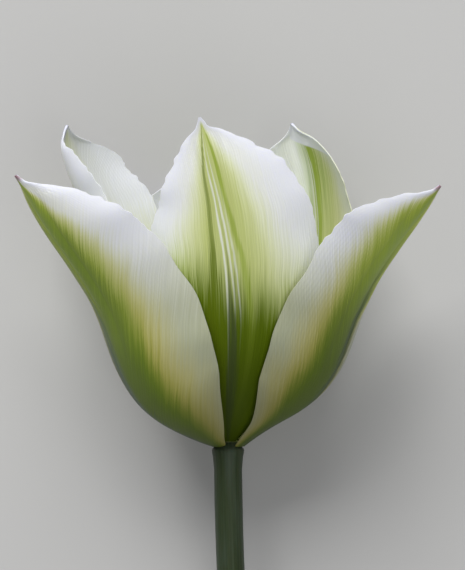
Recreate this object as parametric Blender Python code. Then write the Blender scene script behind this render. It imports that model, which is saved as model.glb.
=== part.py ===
"""An open white and green tulip on a short cut stem, lying on its side.

Six tepals stand in two whorls of three on the rounded top of the stem. Inside them are six stamens, each
a filament with its anther, round a three-sided ovary that carries a lobed stigma.

The bloom is modelled upright, its axis along +Z, and an empty lays it down: its mouth then looks along
+Y and a little up, and its stem runs to -Y. It rests on two flat spots of its lowest tepal, one to each
side of the midrib, and on the cut end of the stem. The origin is on the table, under the middle of the
whole flower. Lengths are in metres and angles in degrees.
"""

import math
from dataclasses import dataclass

import bmesh
import bpy
import numpy as np
from mathutils import Matrix, Vector


def mm(*values):
    """Lengths given in millimetres, in metres: one number, or a tuple of them."""
    lengths = tuple(value * 0.001 for value in values)
    return lengths if len(lengths) > 1 else lengths[0]


# How the bloom lies
AXIS_RISE = 8.0  # how far the axis rises towards the mouth
BASE_PLACE = (0.0, mm(17.55), mm(23.6))  # where the tepals are joined to the stem

# Stem
STEM_RADIUS = mm(3.2)
STEM_LENGTH = mm(112.0)  # from the join to the cut end, along the table
STEM_SIDES = 12
STEM_RINGS = 16
STEM_SWAY = mm(5.0)  # how far the cut end lies to one side
STEM_STRAIGHT = 0.42  # share of the length that the bloom's own direction pulls straight
STEM_FLAT = 0.34  # share at the cut end that the table pulls level
# The rounded top, as heights above the join and radii, down to the stem's own neck
RECEPTACLE = ((2.0, 1.3), (1.6, 1.75), (0.9, 2.1), (0.2, 2.7), (-0.5, 3.2), (-1.0, 3.7), (-2.6, 3.55))

# Tepals
BLADE_THICKNESS = mm(0.7)
BLADE_COLUMNS = 18
BLADE_ROWS = 24
ROW_CROWDING = 0.35  # how much closer the rows stand at the tip than on average
KEEL_HEIGHT = mm(0.35)  # a raised line down the middle of the outside
KEEL_WIDTH = mm(2.2)
WAVE_LENGTH = mm(17.0)  # of the slow waves along a margin
BAY_LENGTH = mm(10.5)  # of the small bays in its outline
BAY_DEPTH = mm(0.25)
# How the lowest tepal lies: flat on a spot to each side of its midrib, and clear of the table round them
ARCH_HEIGHT = mm(0.3)
ARCH_WIDTH = mm(8.2)  # from the midrib to each flat spot
SPOT_PLACE = mm(61.4)
SPOT_LENGTH = mm(4.0)
SPOT_FADE = mm(4.0)  # over which the blade rises past a spot's ends
RING_END = 0.25  # share of a tepal's length that still runs round the axis in a level ring
RING_TURN = 56.0  # how far that ring may reach to each side, so that three share the circle
# Shares of a tepal's length at which its slope, sway and wrap are given, and its half widths
BEND_AT = (0, 0.15, 0.3, 0.45, 0.6, 0.75, 0.9, 1)
WIDTH_AT = (0, 0.1, 0.25, 0.45, 0.65, 0.8, 0.9, 0.96, 1)
RIB_STEPS = 240

# Stamens, each opposite a tepal
STAMEN_AZIMUTHS = (30, 90, 150, 210, 270, 330)
STAMEN_RING = mm(1.75)
STAMEN_FOOT = mm(2.3)
STAMEN_LEAN = 20.0
FILAMENT_LENGTH = mm(8.5)
FILAMENT_SIDES = 6
FILAMENT = ((0, 0.55), (0.35, 0.7), (1, 0.3))  # shares of the length, and radii
ANTHER_LENGTH = mm(10.0)
ANTHER_SIDES = 10
ANTHER_RADIUS = mm(1.25)
ANTHER_RINGS = (0, 0.1, 0.3, 0.55, 0.8, 0.94, 1)
ANTHER_WAIST = 0.22  # depth of the groove between its two halves, as a share of its radius

# Ovary and stigma, as shares of their heights and radii
OVARY_FOOT = mm(2.5)
OVARY_LENGTH = mm(15.5)
OVARY_RADIUS = mm(2.7)
OVARY_SIDES = 18
OVARY_ANGLE = 0.1  # how far its three corners stand out
OVARY = ((0, 0.3), (0.1, 0.42), (0.3, 0.82), (0.6, 1), (0.85, 0.88), (0.96, 0.72), (1, 0.55))
STIGMA_RADIUS = mm(3.6)
STIGMA_HEIGHT = mm(2.6)
STIGMA_SIDES = 24
STIGMA = ((0, 0.5, 0.1), (0.45, 0.72, 0.3), (0.85, 0.8, 0.36), (1, 0.5, 0.4))  # the third is the lobes' depth
CLEARANCE = mm(0.3)

WHITE = (0.80, 0.80, 0.74, 1)
GREEN_WHITE = (0.66, 0.74, 0.50, 1)
STEM_GREEN = (0.23, 0.31, 0.20, 1)
CREAM = (0.80, 0.77, 0.55, 1)
POLLEN = (0.48, 0.44, 0.20, 1)
OVARY_GREEN = (0.42, 0.52, 0.25, 1)


@dataclass
class Tepal:
    """One tepal. Seen from outside with its tip up, `right` is its right half.

    azimuth: the way it faces round the axis
    slope: how steeply the rib climbs, 0 straight out from the axis and 90 along it
    sway: how far the rib leans to its right
    left, right: half widths
    wrap_left, wrap_right: how far each half turns towards the axis, from the rib to its margin
    wave: how far the margins stand in and out
    """

    name: str
    azimuth: float
    length: float
    slope: tuple
    left: tuple
    right: tuple
    wrap_left: tuple
    wrap_right: tuple
    root_radius: float
    root_height: float
    wave: float
    sway: tuple = (0,) * len(BEND_AT)


OUTER_ROOT = {"root_radius": mm(3.6), "root_height": mm(0.0), "wave": mm(0.5)}
INNER_ROOT = {"root_radius": mm(2.6), "root_height": mm(1.2), "wave": mm(0.8)}

TEPALS = (
    Tepal(
        "tepal_outer_left",
        azimuth=208,
        length=mm(81),
        slope=(18, 29, 58, 71, 57, 52, 56, 45),
        left=mm(2.6, 8.5, 17, 19.5, 20, 19, 14, 6, 0.3),
        right=mm(2.6, 16.6, 23.5, 26.4, 25.5, 22.5, 14, 4.5, 0.3),
        wrap_left=(50, 52, 50, 46, 44, 42, 42, 30),
        wrap_right=(50, 62, 62, 58, 54, 50, 46, 30),
        **OUTER_ROOT,
    ),
    Tepal(
        "tepal_outer_right",
        azimuth=332,
        length=mm(78.5),
        slope=(38, 28, 49, 69, 61, 52, 48, 46),
        left=mm(2.2, 6, 16.2, 19.5, 18.3, 17.9, 11.5, 4.5, 0.3),
        right=mm(2.6, 8.5, 17, 19.5, 20, 19.5, 14, 6, 0.3),
        wrap_left=(45, 50, 60, 58, 54, 50, 46, 30),
        wrap_right=(50, 48, 44, 42, 44, 42, 42, 30),
        **OUTER_ROOT,
    ),
    Tepal(
        "tepal_outer_back",
        azimuth=90,
        length=mm(82),
        slope=(13, 28, 58, 78, 82, 82, 84, 84),
        left=mm(2.6, 8.5, 17, 22, 24, 23, 16, 7, 0.3),
        right=mm(2.6, 8.5, 17, 22, 24, 23, 16, 7, 0.3),
        wrap_left=(50, 50, 44, 42, 40, 38, 36, 30),
        wrap_right=(50, 50, 44, 42, 40, 38, 36, 30),
        **OUTER_ROOT,
    ),
    Tepal(
        "tepal_inner_front",
        azimuth=270,
        length=mm(82.5),
        slope=(38, 41, 58, 72, 76, 76, 78, 80),
        sway=(0, 0, 0, -1, -3, -8, -14, -14),
        left=mm(2.1, 7.5, 14, 17.5, 17.5, 13.8, 8.5, 3.2, 0.3),
        right=mm(2.1, 7.5, 15, 21, 22.3, 18.2, 9.6, 2.8, 0.3),
        wrap_left=(48, 48, 46, 42, 40, 40, 40, 30),
        wrap_right=(48, 48, 46, 42, 40, 40, 40, 30),
        **INNER_ROOT,
    ),
    Tepal(
        "tepal_inner_back_left",
        azimuth=160,
        length=mm(85.5),
        slope=(28, 40, 65, 76, 69, 62, 70, 105),
        left=mm(2.1, 7.5, 15, 20, 21, 20, 17, 10, 0.3),
        right=mm(2.1, 7.5, 15, 20, 22, 20, 13, 5.5, 0.3),
        wrap_left=(48, 48, 50, 52, 52, 50, 44, 20),
        wrap_right=(48, 48, 46, 50, 54, 64, 50, 20),
        **INNER_ROOT,
    ),
    Tepal(
        "tepal_inner_back_right",
        azimuth=44,
        length=mm(84),
        slope=(36, 40, 58, 75, 86, 95, 106, 112),
        sway=(0, 0, 0, 0, 0, 2, 6, 8),
        left=mm(2.1, 7.5, 15, 19, 21, 20, 14.6, 6.8, 0.3),
        right=mm(2.1, 7.5, 14, 18, 19, 18, 13, 6, 0.3),
        wrap_left=(48, 48, 46, 44, 42, 40, 40, 30),
        wrap_right=(48, 48, 48, 52, 54, 52, 48, 30),
        **INNER_ROOT,
    ),
)


def clear_scene():
    for old in list(bpy.data.objects):
        bpy.data.objects.remove(old, do_unlink=True)


def material(name, color, roughness):
    made = bpy.data.materials.new(name)
    made.use_nodes = True
    shader = made.node_tree.nodes["Principled BSDF"]
    shader.inputs["Base Color"].default_value = color
    shader.inputs["Roughness"].default_value = roughness
    made.diffuse_color = color
    return made


def solid(name, points, faces, finish, parent=None):
    """A smooth closed object from its points and faces, with its normals facing out."""
    mesh = bpy.data.meshes.new(name)
    mesh.from_pydata([tuple(point) for point in points], [], faces)
    shape = bmesh.new()
    shape.from_mesh(mesh)
    bmesh.ops.recalc_face_normals(shape, faces=shape.faces)
    shape.to_mesh(mesh)
    shape.free()
    mesh.shade_smooth()
    mesh.set_sharp_from_angle(angle=math.radians(50))
    mesh.materials.append(finish)
    made = bpy.data.objects.new(name, mesh)
    bpy.context.collection.objects.link(made)
    made.parent = parent
    return made


def ring_solid(rings):
    """Points and faces of a tube through rings of points, closed by a flat cap at each end."""
    sides = len(rings[0])
    points = [point for ring in rings for point in ring]
    faces = []
    for start in range(0, len(points) - sides, sides):
        for side in range(sides):
            after = (side + 1) % sides
            faces.append((start + side, start + after, start + sides + after, start + sides + side))
    faces.append(tuple(range(sides)))
    faces.append(tuple(range(len(points) - sides, len(points))))
    return points, faces


def circle(centre, side, up, radius, sides, lobes=0, depth=0.0, start=0.0):
    """A ring of points round a centre. Lobes swell it that many times round, by a share of its radius."""
    points = []
    for step in range(sides):
        angle = 2 * math.pi * step / sides
        reach = radius * (1 + depth * math.cos(lobes * angle))
        turned = angle + start
        points.append(centre + reach * (math.cos(turned) * side + math.sin(turned) * up))
    return points


def ease(stations, values, at):
    """The values between their stations, on a smooth curve that never swings past them."""
    x = np.asarray(stations, float)
    y = np.asarray(values, float)
    step = np.diff(x)
    rise = np.diff(y) / step
    weight_before = 2 * step[1:] + step[:-1]
    weight_after = step[1:] + 2 * step[:-1]
    product = rise[:-1] * rise[1:]
    blend = weight_before * rise[1:] + weight_after * rise[:-1]
    steady = product > 0
    slope = np.zeros(len(x))
    slope[1:-1][steady] = ((weight_before + weight_after) * product)[steady] / blend[steady]
    slope[0] = rise[0]
    slope[-1] = rise[-1]
    at = np.clip(np.asarray(at, float), x[0], x[-1])
    i = np.clip(np.searchsorted(x, at, side="right") - 1, 0, len(x) - 2)
    t = (at - x[i]) / step[i]
    level = (1 + 2 * t) * (1 - t) ** 2 * y[i] + t**2 * (3 - 2 * t) * y[i + 1]
    lean = t * (1 - t) ** 2 * slope[i] + t**2 * (t - 1) * slope[i + 1]
    return level + lean * step[i]


def fade(along, start, rise, fall):
    """0 up to start, then 1 within rise, and 0 again over the last fall of a tepal's length."""
    return np.clip((along - start) / rise, 0, 1) * np.clip((1 - along) / fall, 0, 1)


def rib(tepal, along):
    """Where the rib runs: its reach from the axis, height, drift to the right, slope and sway."""
    share = np.linspace(0, 1, RIB_STEPS + 1)
    slope = np.radians(ease(BEND_AT, tepal.slope, share))
    sway = np.radians(ease(BEND_AT, tepal.sway, share))
    step = tepal.length / RIB_STEPS

    def summed(rate, start):
        total = np.concatenate([[0], np.cumsum((rate[1:] + rate[:-1]) / 2)]) * step + start
        return np.interp(along, share, total)

    reach = summed(np.cos(slope) * np.cos(sway), tepal.root_radius)
    height = summed(np.sin(slope) * np.cos(sway), tepal.root_height)
    drift = summed(np.sin(sway), 0)
    return reach, height, drift, np.interp(along, share, slope), np.interp(along, share, sway)


def margin_wave(tepal, across, along):
    """How far the margins stand in or out, in slow waves that die away towards the rib, root and tip."""
    phase = np.radians(tepal.azimuth + np.where(across < 0, 0, 120))
    swing = np.sin(2 * math.pi * along * tepal.length / WAVE_LENGTH + phase)
    return tepal.wave * swing * fade(along, 0.2, 0.3, 0.12) * np.abs(across) ** 3


def half_width(tepal, across, along):
    """The half width on this side of the rib, with small bays in the margin."""
    left = ease(WIDTH_AT, tepal.left, along)
    right = ease(WIDTH_AT, tepal.right, along)
    phase = np.radians(2 * tepal.azimuth + np.where(across < 0, 75, 0))
    bays = np.sin(2 * math.pi * along * tepal.length / BAY_LENGTH + phase)
    return np.where(across < 0, left, right) + BAY_DEPTH * bays * fade(along, 0.35, 0.2, 0.08)


def middle_sheet(tepal, across, along):
    """Points halfway through the blade. across runs from -1 to 1 over its width, along from root to tip.

    The tepal's own frame has +X out from the axis, +Y to its right and +Z up the axis.
    """
    reach, height, drift, slope, sway = rib(tepal, along)
    half = half_width(tepal, across, along)
    wrap_left = ease(BEND_AT, tepal.wrap_left, along)
    wrap_right = ease(BEND_AT, tepal.wrap_right, along)
    turn = across * np.radians(np.where(across < 0, wrap_left, wrap_right))
    bend_radius = across * half / np.where(across == 0, 1, turn)
    inward = np.stack([-np.sin(slope), np.zeros_like(slope), np.cos(slope)], axis=-1)
    forward = np.stack(
        [np.cos(slope) * np.cos(sway), np.sin(sway), np.sin(slope) * np.cos(sway)], axis=-1
    )
    sideways = np.cross(inward, forward)
    sideways /= np.linalg.norm(sideways, axis=-1, keepdims=True)
    out = bend_radius * np.sin(turn)
    keel = KEEL_HEIGHT * fade(along, 0, 0.2, 0.1) * np.exp(-((across * half / KEEL_WIDTH) ** 2))
    lift = bend_radius * (1 - np.cos(turn)) + margin_wave(tepal, across, along) - keel
    blade = np.stack([reach, drift, height], axis=-1)
    blade = blade + out[..., None] * sideways + lift[..., None] * inward
    turn = across * np.minimum(half / reach, math.radians(RING_TURN))
    ring = np.stack([reach * np.cos(turn), reach * np.sin(turn), height], axis=-1)
    share = np.clip(along / RING_END, 0, 1)
    share = (share * share * (3 - 2 * share))[..., None]
    return ring * (1 - share) + blade * share


def outward_normals(sheet):
    """Unit normals of a sheet of points, away from the axis."""
    across = np.gradient(sheet, axis=1)
    along = np.gradient(sheet, axis=0)
    normal = np.cross(across, along)
    return normal / np.linalg.norm(normal, axis=-1, keepdims=True)


def pressed_flat(sheet, to_world):
    """The sheet with what would sink below the table lying on its two flat spots, or a little above."""
    turn = np.array(to_world.to_3x3())
    place = np.array(to_world.translation)
    world = sheet @ turn.T + place
    arch = 1 - (world[..., 0] / ARCH_WIDTH) ** 2
    past = (np.abs(world[..., 1] - SPOT_PLACE) - SPOT_LENGTH / 2) / SPOT_FADE
    rise = ARCH_HEIGHT * (np.clip(arch, 0, 1) + np.clip(past, 0, 1))
    world[..., 2] = np.maximum(world[..., 2], BLADE_THICKNESS / 2 + rise)
    return (world - place) @ turn


def blade(tepal, finish, bloom):
    """A tepal: two faces half a thickness to each side of the middle sheet, and the rim between them."""
    across, share = np.meshgrid(
        np.linspace(-1, 1, BLADE_COLUMNS + 1), np.linspace(0, 1, BLADE_ROWS + 1)
    )
    along = share * (1 + ROW_CROWDING * (1 - share))
    turn = Matrix.Rotation(math.radians(tepal.azimuth), 4, "Z")
    sheet = pressed_flat(middle_sheet(tepal, across, along), bloom.matrix_world @ turn)
    offset = outward_normals(sheet) * BLADE_THICKNESS / 2
    outside = (sheet + offset).reshape(-1, 3)
    inside = (sheet - offset).reshape(-1, 3)
    columns = BLADE_COLUMNS + 1
    under = len(outside)
    faces = []
    for row in range(BLADE_ROWS):
        for column in range(BLADE_COLUMNS):
            a = row * columns + column
            b, c, d = a + 1, a + columns + 1, a + columns
            faces += [(a, b, c), (a, c, d)]
            faces += [(under + a, under + c, under + b), (under + a, under + d, under + c)]
    last = BLADE_ROWS * columns
    rim = list(range(columns))
    rim += [row * columns + BLADE_COLUMNS for row in range(1, BLADE_ROWS + 1)]
    rim += [last + column for column in range(BLADE_COLUMNS - 1, -1, -1)]
    rim += [row * columns for row in range(BLADE_ROWS - 1, 0, -1)]
    for here, there in zip(rim, rim[1:] + rim[:1]):
        faces += [(here, under + here, under + there), (here, under + there, there)]
    made = solid(tepal.name, np.concatenate([outside, inside]), faces, finish, bloom)
    made.rotation_euler = (0, 0, math.radians(tepal.azimuth))
    return made


def stem(finish, bloom):
    """The stem, from the rounded receptacle that the tepals stand on to its cut end on the table."""
    base = Vector(BASE_PLACE)
    axis = (bloom.matrix_world.to_3x3() @ Vector((0, 0, 1))).normalized()
    half_side = math.pi / STEM_SIDES
    across = Vector((1, 0, 0))
    rings = []
    for height, radius in RECEPTACLE:
        place = base + axis * mm(height)
        rings.append(circle(place, across, across.cross(axis), mm(radius), STEM_SIDES, start=half_side))
    end = Vector((STEM_SWAY, base.y - STEM_LENGTH, STEM_RADIUS * math.cos(half_side)))
    near = base - axis * STEM_LENGTH * STEM_STRAIGHT
    far = end + Vector((0, STEM_LENGTH * STEM_FLAT, 0))
    for step in range(1, STEM_RINGS + 1):
        t = step / STEM_RINGS
        place = (1 - t) ** 3 * base + 3 * (1 - t) ** 2 * t * near + 3 * (1 - t) * t * t * far + t**3 * end
        back = (1 - t) ** 2 * (base - near) + 2 * (1 - t) * t * (near - far) + t * t * (far - end)
        back.normalize()
        side = back.cross(Vector((0, 0, 1))).normalized()
        rings.append(circle(place, side, side.cross(back), STEM_RADIUS, STEM_SIDES, start=half_side))
    return solid("stem", *ring_solid(rings), finish)


def stamen(number, azimuth, filament_finish, anther_finish, bloom):
    """A filament that leans out from the foot of the ovary, and the anther on its tip."""
    lean = math.radians(STAMEN_LEAN)
    out = Vector((math.cos(azimuth), math.sin(azimuth), 0))
    up = Vector((0, 0, 1))
    along = out * math.sin(lean) + up * math.cos(lean)
    side = up.cross(out)
    front = side.cross(along)
    foot = out * STAMEN_RING + up * STAMEN_FOOT
    rings = []
    for share, radius in FILAMENT:
        rings.append(circle(foot + along * FILAMENT_LENGTH * share, side, front, mm(radius), FILAMENT_SIDES))
    solid(f"filament_{number}", *ring_solid(rings), filament_finish, bloom)
    start = foot + along * (FILAMENT_LENGTH + CLEARANCE)
    rings = []
    for share in ANTHER_RINGS:
        radius = ANTHER_RADIUS * math.sqrt(max(0.05, 1 - (2 * share - 1) ** 4))
        place = start + along * ANTHER_LENGTH * share
        rings.append(circle(place, side, front, radius, ANTHER_SIDES, lobes=2, depth=ANTHER_WAIST))
    solid(f"anther_{number}", *ring_solid(rings), anther_finish, bloom)


def pistil(ovary_finish, stigma_finish, bloom):
    """The three-sided ovary, and the stigma with its three folded lobes on top."""
    out = Vector((1, 0, 0))
    side = Vector((0, 1, 0))
    up = Vector((0, 0, 1))
    rings = []
    for share, swell in OVARY:
        place = up * (OVARY_FOOT + OVARY_LENGTH * share)
        radius = OVARY_RADIUS * swell
        rings.append(circle(place, out, side, radius, OVARY_SIDES, lobes=3, depth=OVARY_ANGLE))
    solid("ovary", *ring_solid(rings), ovary_finish, bloom)
    foot = OVARY_FOOT + OVARY_LENGTH + CLEARANCE
    rings = []
    for share, swell, depth in STIGMA:
        place = up * (foot + STIGMA_HEIGHT * share)
        radius = STIGMA_RADIUS * swell
        rings.append(circle(place, out, side, radius, STIGMA_SIDES, lobes=3, depth=depth))
    solid("stigma", *ring_solid(rings), stigma_finish, bloom)


def laid_down():
    """The empty that carries the upright bloom and lays it on its side, with its mouth a little raised."""
    bloom = bpy.data.objects.new("bloom", None)
    bpy.context.collection.objects.link(bloom)
    bloom.location = BASE_PLACE
    bloom.rotation_euler = (math.radians(AXIS_RISE - 90), 0, 0)
    bpy.context.view_layer.update()
    return bloom


def main():
    clear_scene()
    bloom = laid_down()
    outer = material("outer tepal", WHITE, 0.5)
    inner = material("inner tepal", GREEN_WHITE, 0.5)
    for tepal in TEPALS:
        blade(tepal, outer if "outer" in tepal.name else inner, bloom)
    stem(material("stem", STEM_GREEN, 0.45), bloom)
    filament_finish = material("filament", CREAM, 0.5)
    anther_finish = material("anther", POLLEN, 0.8)
    for number, azimuth in enumerate(STAMEN_AZIMUTHS, start=1):
        stamen(number, math.radians(azimuth), filament_finish, anther_finish, bloom)
    pistil(material("ovary", OVARY_GREEN, 0.45), material("stigma", CREAM, 0.6), bloom)
    bpy.context.view_layer.update()


main()
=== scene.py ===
# %% [markdown]
# # A white and green tulip, lying on its side
#
# The packed model gives the flower's pieces at their real size: a stem, six tepals, six stamens, an ovary
# and its stigma. Here each piece is made again with a fine surface, in the same place, and gets its
# colours, veins and gloss. Everything is in metres, with +Z up and +Y towards the mouth of the bloom.

# %% The packed model
import math
from dataclasses import dataclass, replace

import bpy
import numpy as np
from mathutils import Matrix, Vector


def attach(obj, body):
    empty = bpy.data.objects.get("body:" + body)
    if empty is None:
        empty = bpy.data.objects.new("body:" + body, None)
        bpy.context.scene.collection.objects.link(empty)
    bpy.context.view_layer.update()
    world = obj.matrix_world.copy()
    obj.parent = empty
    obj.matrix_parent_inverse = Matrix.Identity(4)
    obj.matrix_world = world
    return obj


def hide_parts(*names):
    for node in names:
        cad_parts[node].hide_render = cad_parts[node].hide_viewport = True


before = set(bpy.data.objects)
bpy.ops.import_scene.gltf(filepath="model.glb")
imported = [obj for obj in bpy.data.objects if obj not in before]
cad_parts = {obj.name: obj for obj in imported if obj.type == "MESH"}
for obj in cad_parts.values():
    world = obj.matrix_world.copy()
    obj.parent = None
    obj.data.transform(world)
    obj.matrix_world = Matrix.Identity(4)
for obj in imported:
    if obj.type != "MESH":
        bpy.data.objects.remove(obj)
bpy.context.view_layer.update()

# %% [markdown]
# ## How the flower lies
#
# A tulip is easiest to describe upright: its axis is +Z and the tepals stand round it. Each piece could
# also be made lying down at once, but then every angle would be a mixture of two. One matrix lays the
# upright bloom on its side instead, exactly as the packed model lies, with its mouth a little raised.

# %% The bloom's own frame
def mm(*values):
    """Lengths given in millimetres, in metres: one number, or a tuple of them."""
    lengths = tuple(value * 0.001 for value in values)
    return lengths if len(lengths) > 1 else lengths[0]


AXIS_RISE = 8.0
BASE_PLACE = Vector(mm(0.0, 17.55, 23.6))

bloom = Matrix.Translation(BASE_PLACE) @ Matrix.Rotation(math.radians(AXIS_RISE - 90), 4, "X")
axis = (bloom.to_3x3() @ Vector((0, 0, 1))).normalized()
toward_camera = (bloom.to_3x3() @ Vector((0, -1, 0))).normalized()
print("axis:", tuple(round(x, 3) for x in axis), "seen from:", tuple(round(x, 3) for x in toward_camera))

# %% [markdown]
# ## One tepal in numbers
#
# A tulip has three outer and three inner tepals. Each is a leaf that grew as one piece: a midrib that bends
# as it climbs, and two halves that wrap round it by their own amounts. It could be sculpted, but then no
# number could be read or changed later. Here a few numbers from root to tip describe it.

# %% What describes a tepal
BEND_AT = (0, 0.15, 0.3, 0.45, 0.6, 0.75, 0.9, 1)
WIDTH_AT = (0, 0.1, 0.25, 0.45, 0.65, 0.8, 0.9, 0.95, 0.975, 1)
STILL = (0,) * len(BEND_AT)


@dataclass
class Tepal:
    """Angles in degrees. Seen from outside with its tip up, right is its right half.

    slope: how steeply the midrib climbs, 0 straight out from the axis and 90 along it
    sway: how far the midrib leans to its right
    left, right: half widths at WIDTH_AT
    wrap_left, wrap_right: how far each half turns towards the axis
    nicks: small bites in a margin, as side, share of the length, depth and length
    """

    name: str
    azimuth: float
    length: float
    slope: tuple
    left: tuple
    right: tuple
    wrap_left: tuple
    wrap_right: tuple
    sway: tuple = STILL
    nicks: tuple = ()

    @property
    def is_outer(self):
        return "outer" in self.name


print("bends are given at", len(BEND_AT), "places and widths at", len(WIDTH_AT))

# %% [markdown]
# ## The outer three
#
# The outer tepals open wide. The one on the left and the one on the right each turn a broad half towards
# the camera, with the midrib at the limb of the bloom, and the third lies under the flower.

# %% The outer tepals
OUTER_TEPALS = (
    Tepal(
        "tepal_outer_left",
        azimuth=208,
        length=mm(81),
        slope=(18, 29, 58, 71, 57, 52, 56, 45),
        left=mm(2.6, 8.5, 17, 19.5, 20, 19, 14, 7, 2.4, 0.2),
        right=mm(2.6, 16.6, 23.5, 26.4, 25.5, 22.5, 13.4, 5.2, 1.5, 0.2),
        wrap_left=(50, 52, 50, 46, 44, 42, 42, 30),
        wrap_right=(50, 62, 62, 58, 54, 50, 46, 30),
    ),
    Tepal(
        "tepal_outer_right",
        azimuth=332,
        length=mm(78.5),
        slope=(38, 28, 49, 69, 61, 52, 48, 46),
        left=mm(2.2, 6, 16.2, 19.5, 18.3, 17.9, 11.2, 5.0, 1.6, 0.2),
        right=mm(2.6, 8.5, 17, 19.5, 20, 19.5, 14, 7, 2.4, 0.2),
        wrap_left=(45, 50, 60, 58, 54, 50, 46, 30),
        wrap_right=(50, 48, 44, 42, 44, 42, 42, 30),
    ),
    Tepal(
        "tepal_outer_back",
        azimuth=90,
        length=mm(82),
        slope=(13, 28, 58, 78, 82, 82, 84, 84),
        left=mm(2.6, 8.5, 17, 22, 24, 23, 16, 8, 2.6, 0.2),
        right=mm(2.6, 8.5, 17, 22, 24, 23, 16, 8, 2.6, 0.2),
        wrap_left=(50, 50, 44, 42, 40, 38, 36, 30),
        wrap_right=(50, 50, 44, 42, 40, 38, 36, 30),
    ),
)
for tepal in OUTER_TEPALS:
    print(tepal.name, "length:", tepal.length)

# %% [markdown]
# ## The inner three
#
# The inner tepals stand closer to the axis. The front one covers the gap between the outer two and leans
# to the left. The two behind it show their insides, and the right one's tip curls over towards the camera.

# %% The inner tepals
INNER_TEPALS = (
    Tepal(
        "tepal_inner_front",
        azimuth=270,
        length=mm(82.5),
        slope=(38, 41, 58, 72, 76, 76, 78, 80),
        sway=(0, 0, 0, -1, -3, -8, -14, -14),
        left=mm(2.1, 7.5, 14, 17.5, 17.5, 13.8, 8.5, 4.2, 1.3, 0.2),
        right=mm(2.1, 7.5, 15, 21, 22.3, 18.2, 10.4, 4.6, 1.2, 0.2),
        wrap_left=(48, 48, 46, 42, 40, 40, 40, 30),
        wrap_right=(48, 48, 46, 42, 40, 40, 40, 30),
        nicks=((1, 0.885, mm(1.0), mm(1.6)),),
    ),
    Tepal(
        "tepal_inner_back_left",
        azimuth=160,
        length=mm(85.5),
        slope=(28, 40, 65, 76, 69, 62, 70, 105),
        left=mm(2.1, 7.5, 15, 20, 21, 20, 17, 11.5, 4, 0.2),
        right=mm(2.1, 7.5, 15, 20, 22, 20, 13, 6.5, 2.2, 0.2),
        wrap_left=(48, 48, 50, 52, 52, 50, 44, 20),
        wrap_right=(48, 48, 46, 50, 54, 64, 50, 20),
        nicks=((-1, 0.86, mm(0.9), mm(1.4)),),
    ),
    Tepal(
        "tepal_inner_back_right",
        azimuth=44,
        length=mm(84),
        slope=(36, 40, 58, 75, 86, 95, 106, 112),
        sway=(0, 0, 0, 0, 0, 2, 6, 8),
        left=mm(2.1, 7.5, 15, 19, 21, 20, 14.8, 8.2, 2.6, 0.2),
        right=mm(2.1, 7.5, 14, 18, 19, 18, 13, 7, 2.2, 0.2),
        wrap_left=(48, 48, 46, 44, 42, 40, 40, 30),
        wrap_right=(48, 48, 48, 52, 54, 52, 48, 30),
    ),
)
TEPALS = OUTER_TEPALS + INNER_TEPALS
for tepal in INNER_TEPALS:
    print(tepal.name, "length:", tepal.length)

# %% [markdown]
# ## Smooth ways through a few values
#
# A growing leaf has no corners, so the values between two places lie on a smooth curve. A plain spline
# would swing past them and make bulges. This curve takes a gentle slope at each place, so it never does.

# %% Smooth curves through a few values


def ease(stations, values, at):
    """The values between their stations, on a smooth curve that never swings past them."""
    x = np.asarray(stations, float)
    y = np.asarray(values, float)
    step = np.diff(x)
    rise = np.diff(y) / step
    weight_before = 2 * step[1:] + step[:-1]
    weight_after = step[1:] + 2 * step[:-1]
    product = rise[:-1] * rise[1:]
    blend = weight_before * rise[1:] + weight_after * rise[:-1]
    steady = product > 0
    slope = np.zeros(len(x))
    slope[1:-1][steady] = ((weight_before + weight_after) * product)[steady] / blend[steady]
    slope[0] = rise[0]
    slope[-1] = rise[-1]
    at = np.clip(np.asarray(at, float), x[0], x[-1])
    i = np.clip(np.searchsorted(x, at, side="right") - 1, 0, len(x) - 2)
    t = (at - x[i]) / step[i]
    level = (1 + 2 * t) * (1 - t) ** 2 * y[i] + t**2 * (3 - 2 * t) * y[i + 1]
    lean = t * (1 - t) ** 2 * slope[i] + t**2 * (t - 1) * slope[i + 1]
    return level + lean * step[i]


print("halfway through 0, 1, 1:", float(ease((0, 0.5, 1), (0, 1, 1), 0.25)))

# %% [markdown]
# ## The midrib
#
# The midrib is the tepal's spine. Its slope is known at a few places, so adding up many small steps in
# that direction gives where it runs. Bending a straight strip with a modifier gives only one even bend.

# %% The midrib
RIB_STEPS = 240
ROOTS = {True: mm(3.6, 0.0), False: mm(2.6, 1.2)}  # outer or inner: reach from the axis, and height


def midrib(tepal, along):
    """Reach from the axis, height, drift to the right, slope and sway of the midrib."""
    share = np.linspace(0, 1, RIB_STEPS + 1)
    slope = np.radians(ease(BEND_AT, tepal.slope, share))
    sway = np.radians(ease(BEND_AT, tepal.sway, share))
    step = tepal.length / RIB_STEPS
    root_reach, root_height = ROOTS[tepal.is_outer]

    def summed(rate, start):
        total = np.concatenate([[0], np.cumsum((rate[1:] + rate[:-1]) / 2)]) * step + start
        return np.interp(along, share, total)

    reach = summed(np.cos(slope) * np.cos(sway), root_reach)
    height = summed(np.sin(slope) * np.cos(sway), root_height)
    drift = summed(np.sin(sway), 0)
    return reach, height, drift, np.interp(along, share, slope), np.interp(along, share, sway)


for tepal in TEPALS:
    print(tepal.name, "tip height:", round(float(midrib(tepal, np.array([1.0]))[1][0]), 4))

# %% [markdown]
# ## The margins
#
# The edge of a real tepal is never one clean curve. It has long shallow bays, small scallops near the tip,
# and here and there a nick. Waves of three lengths, a different phase for each half, give all but the nicks.
# Scallops and nicks move only the edge: if the whole half grew with them, ripples would run to the midrib.

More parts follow.
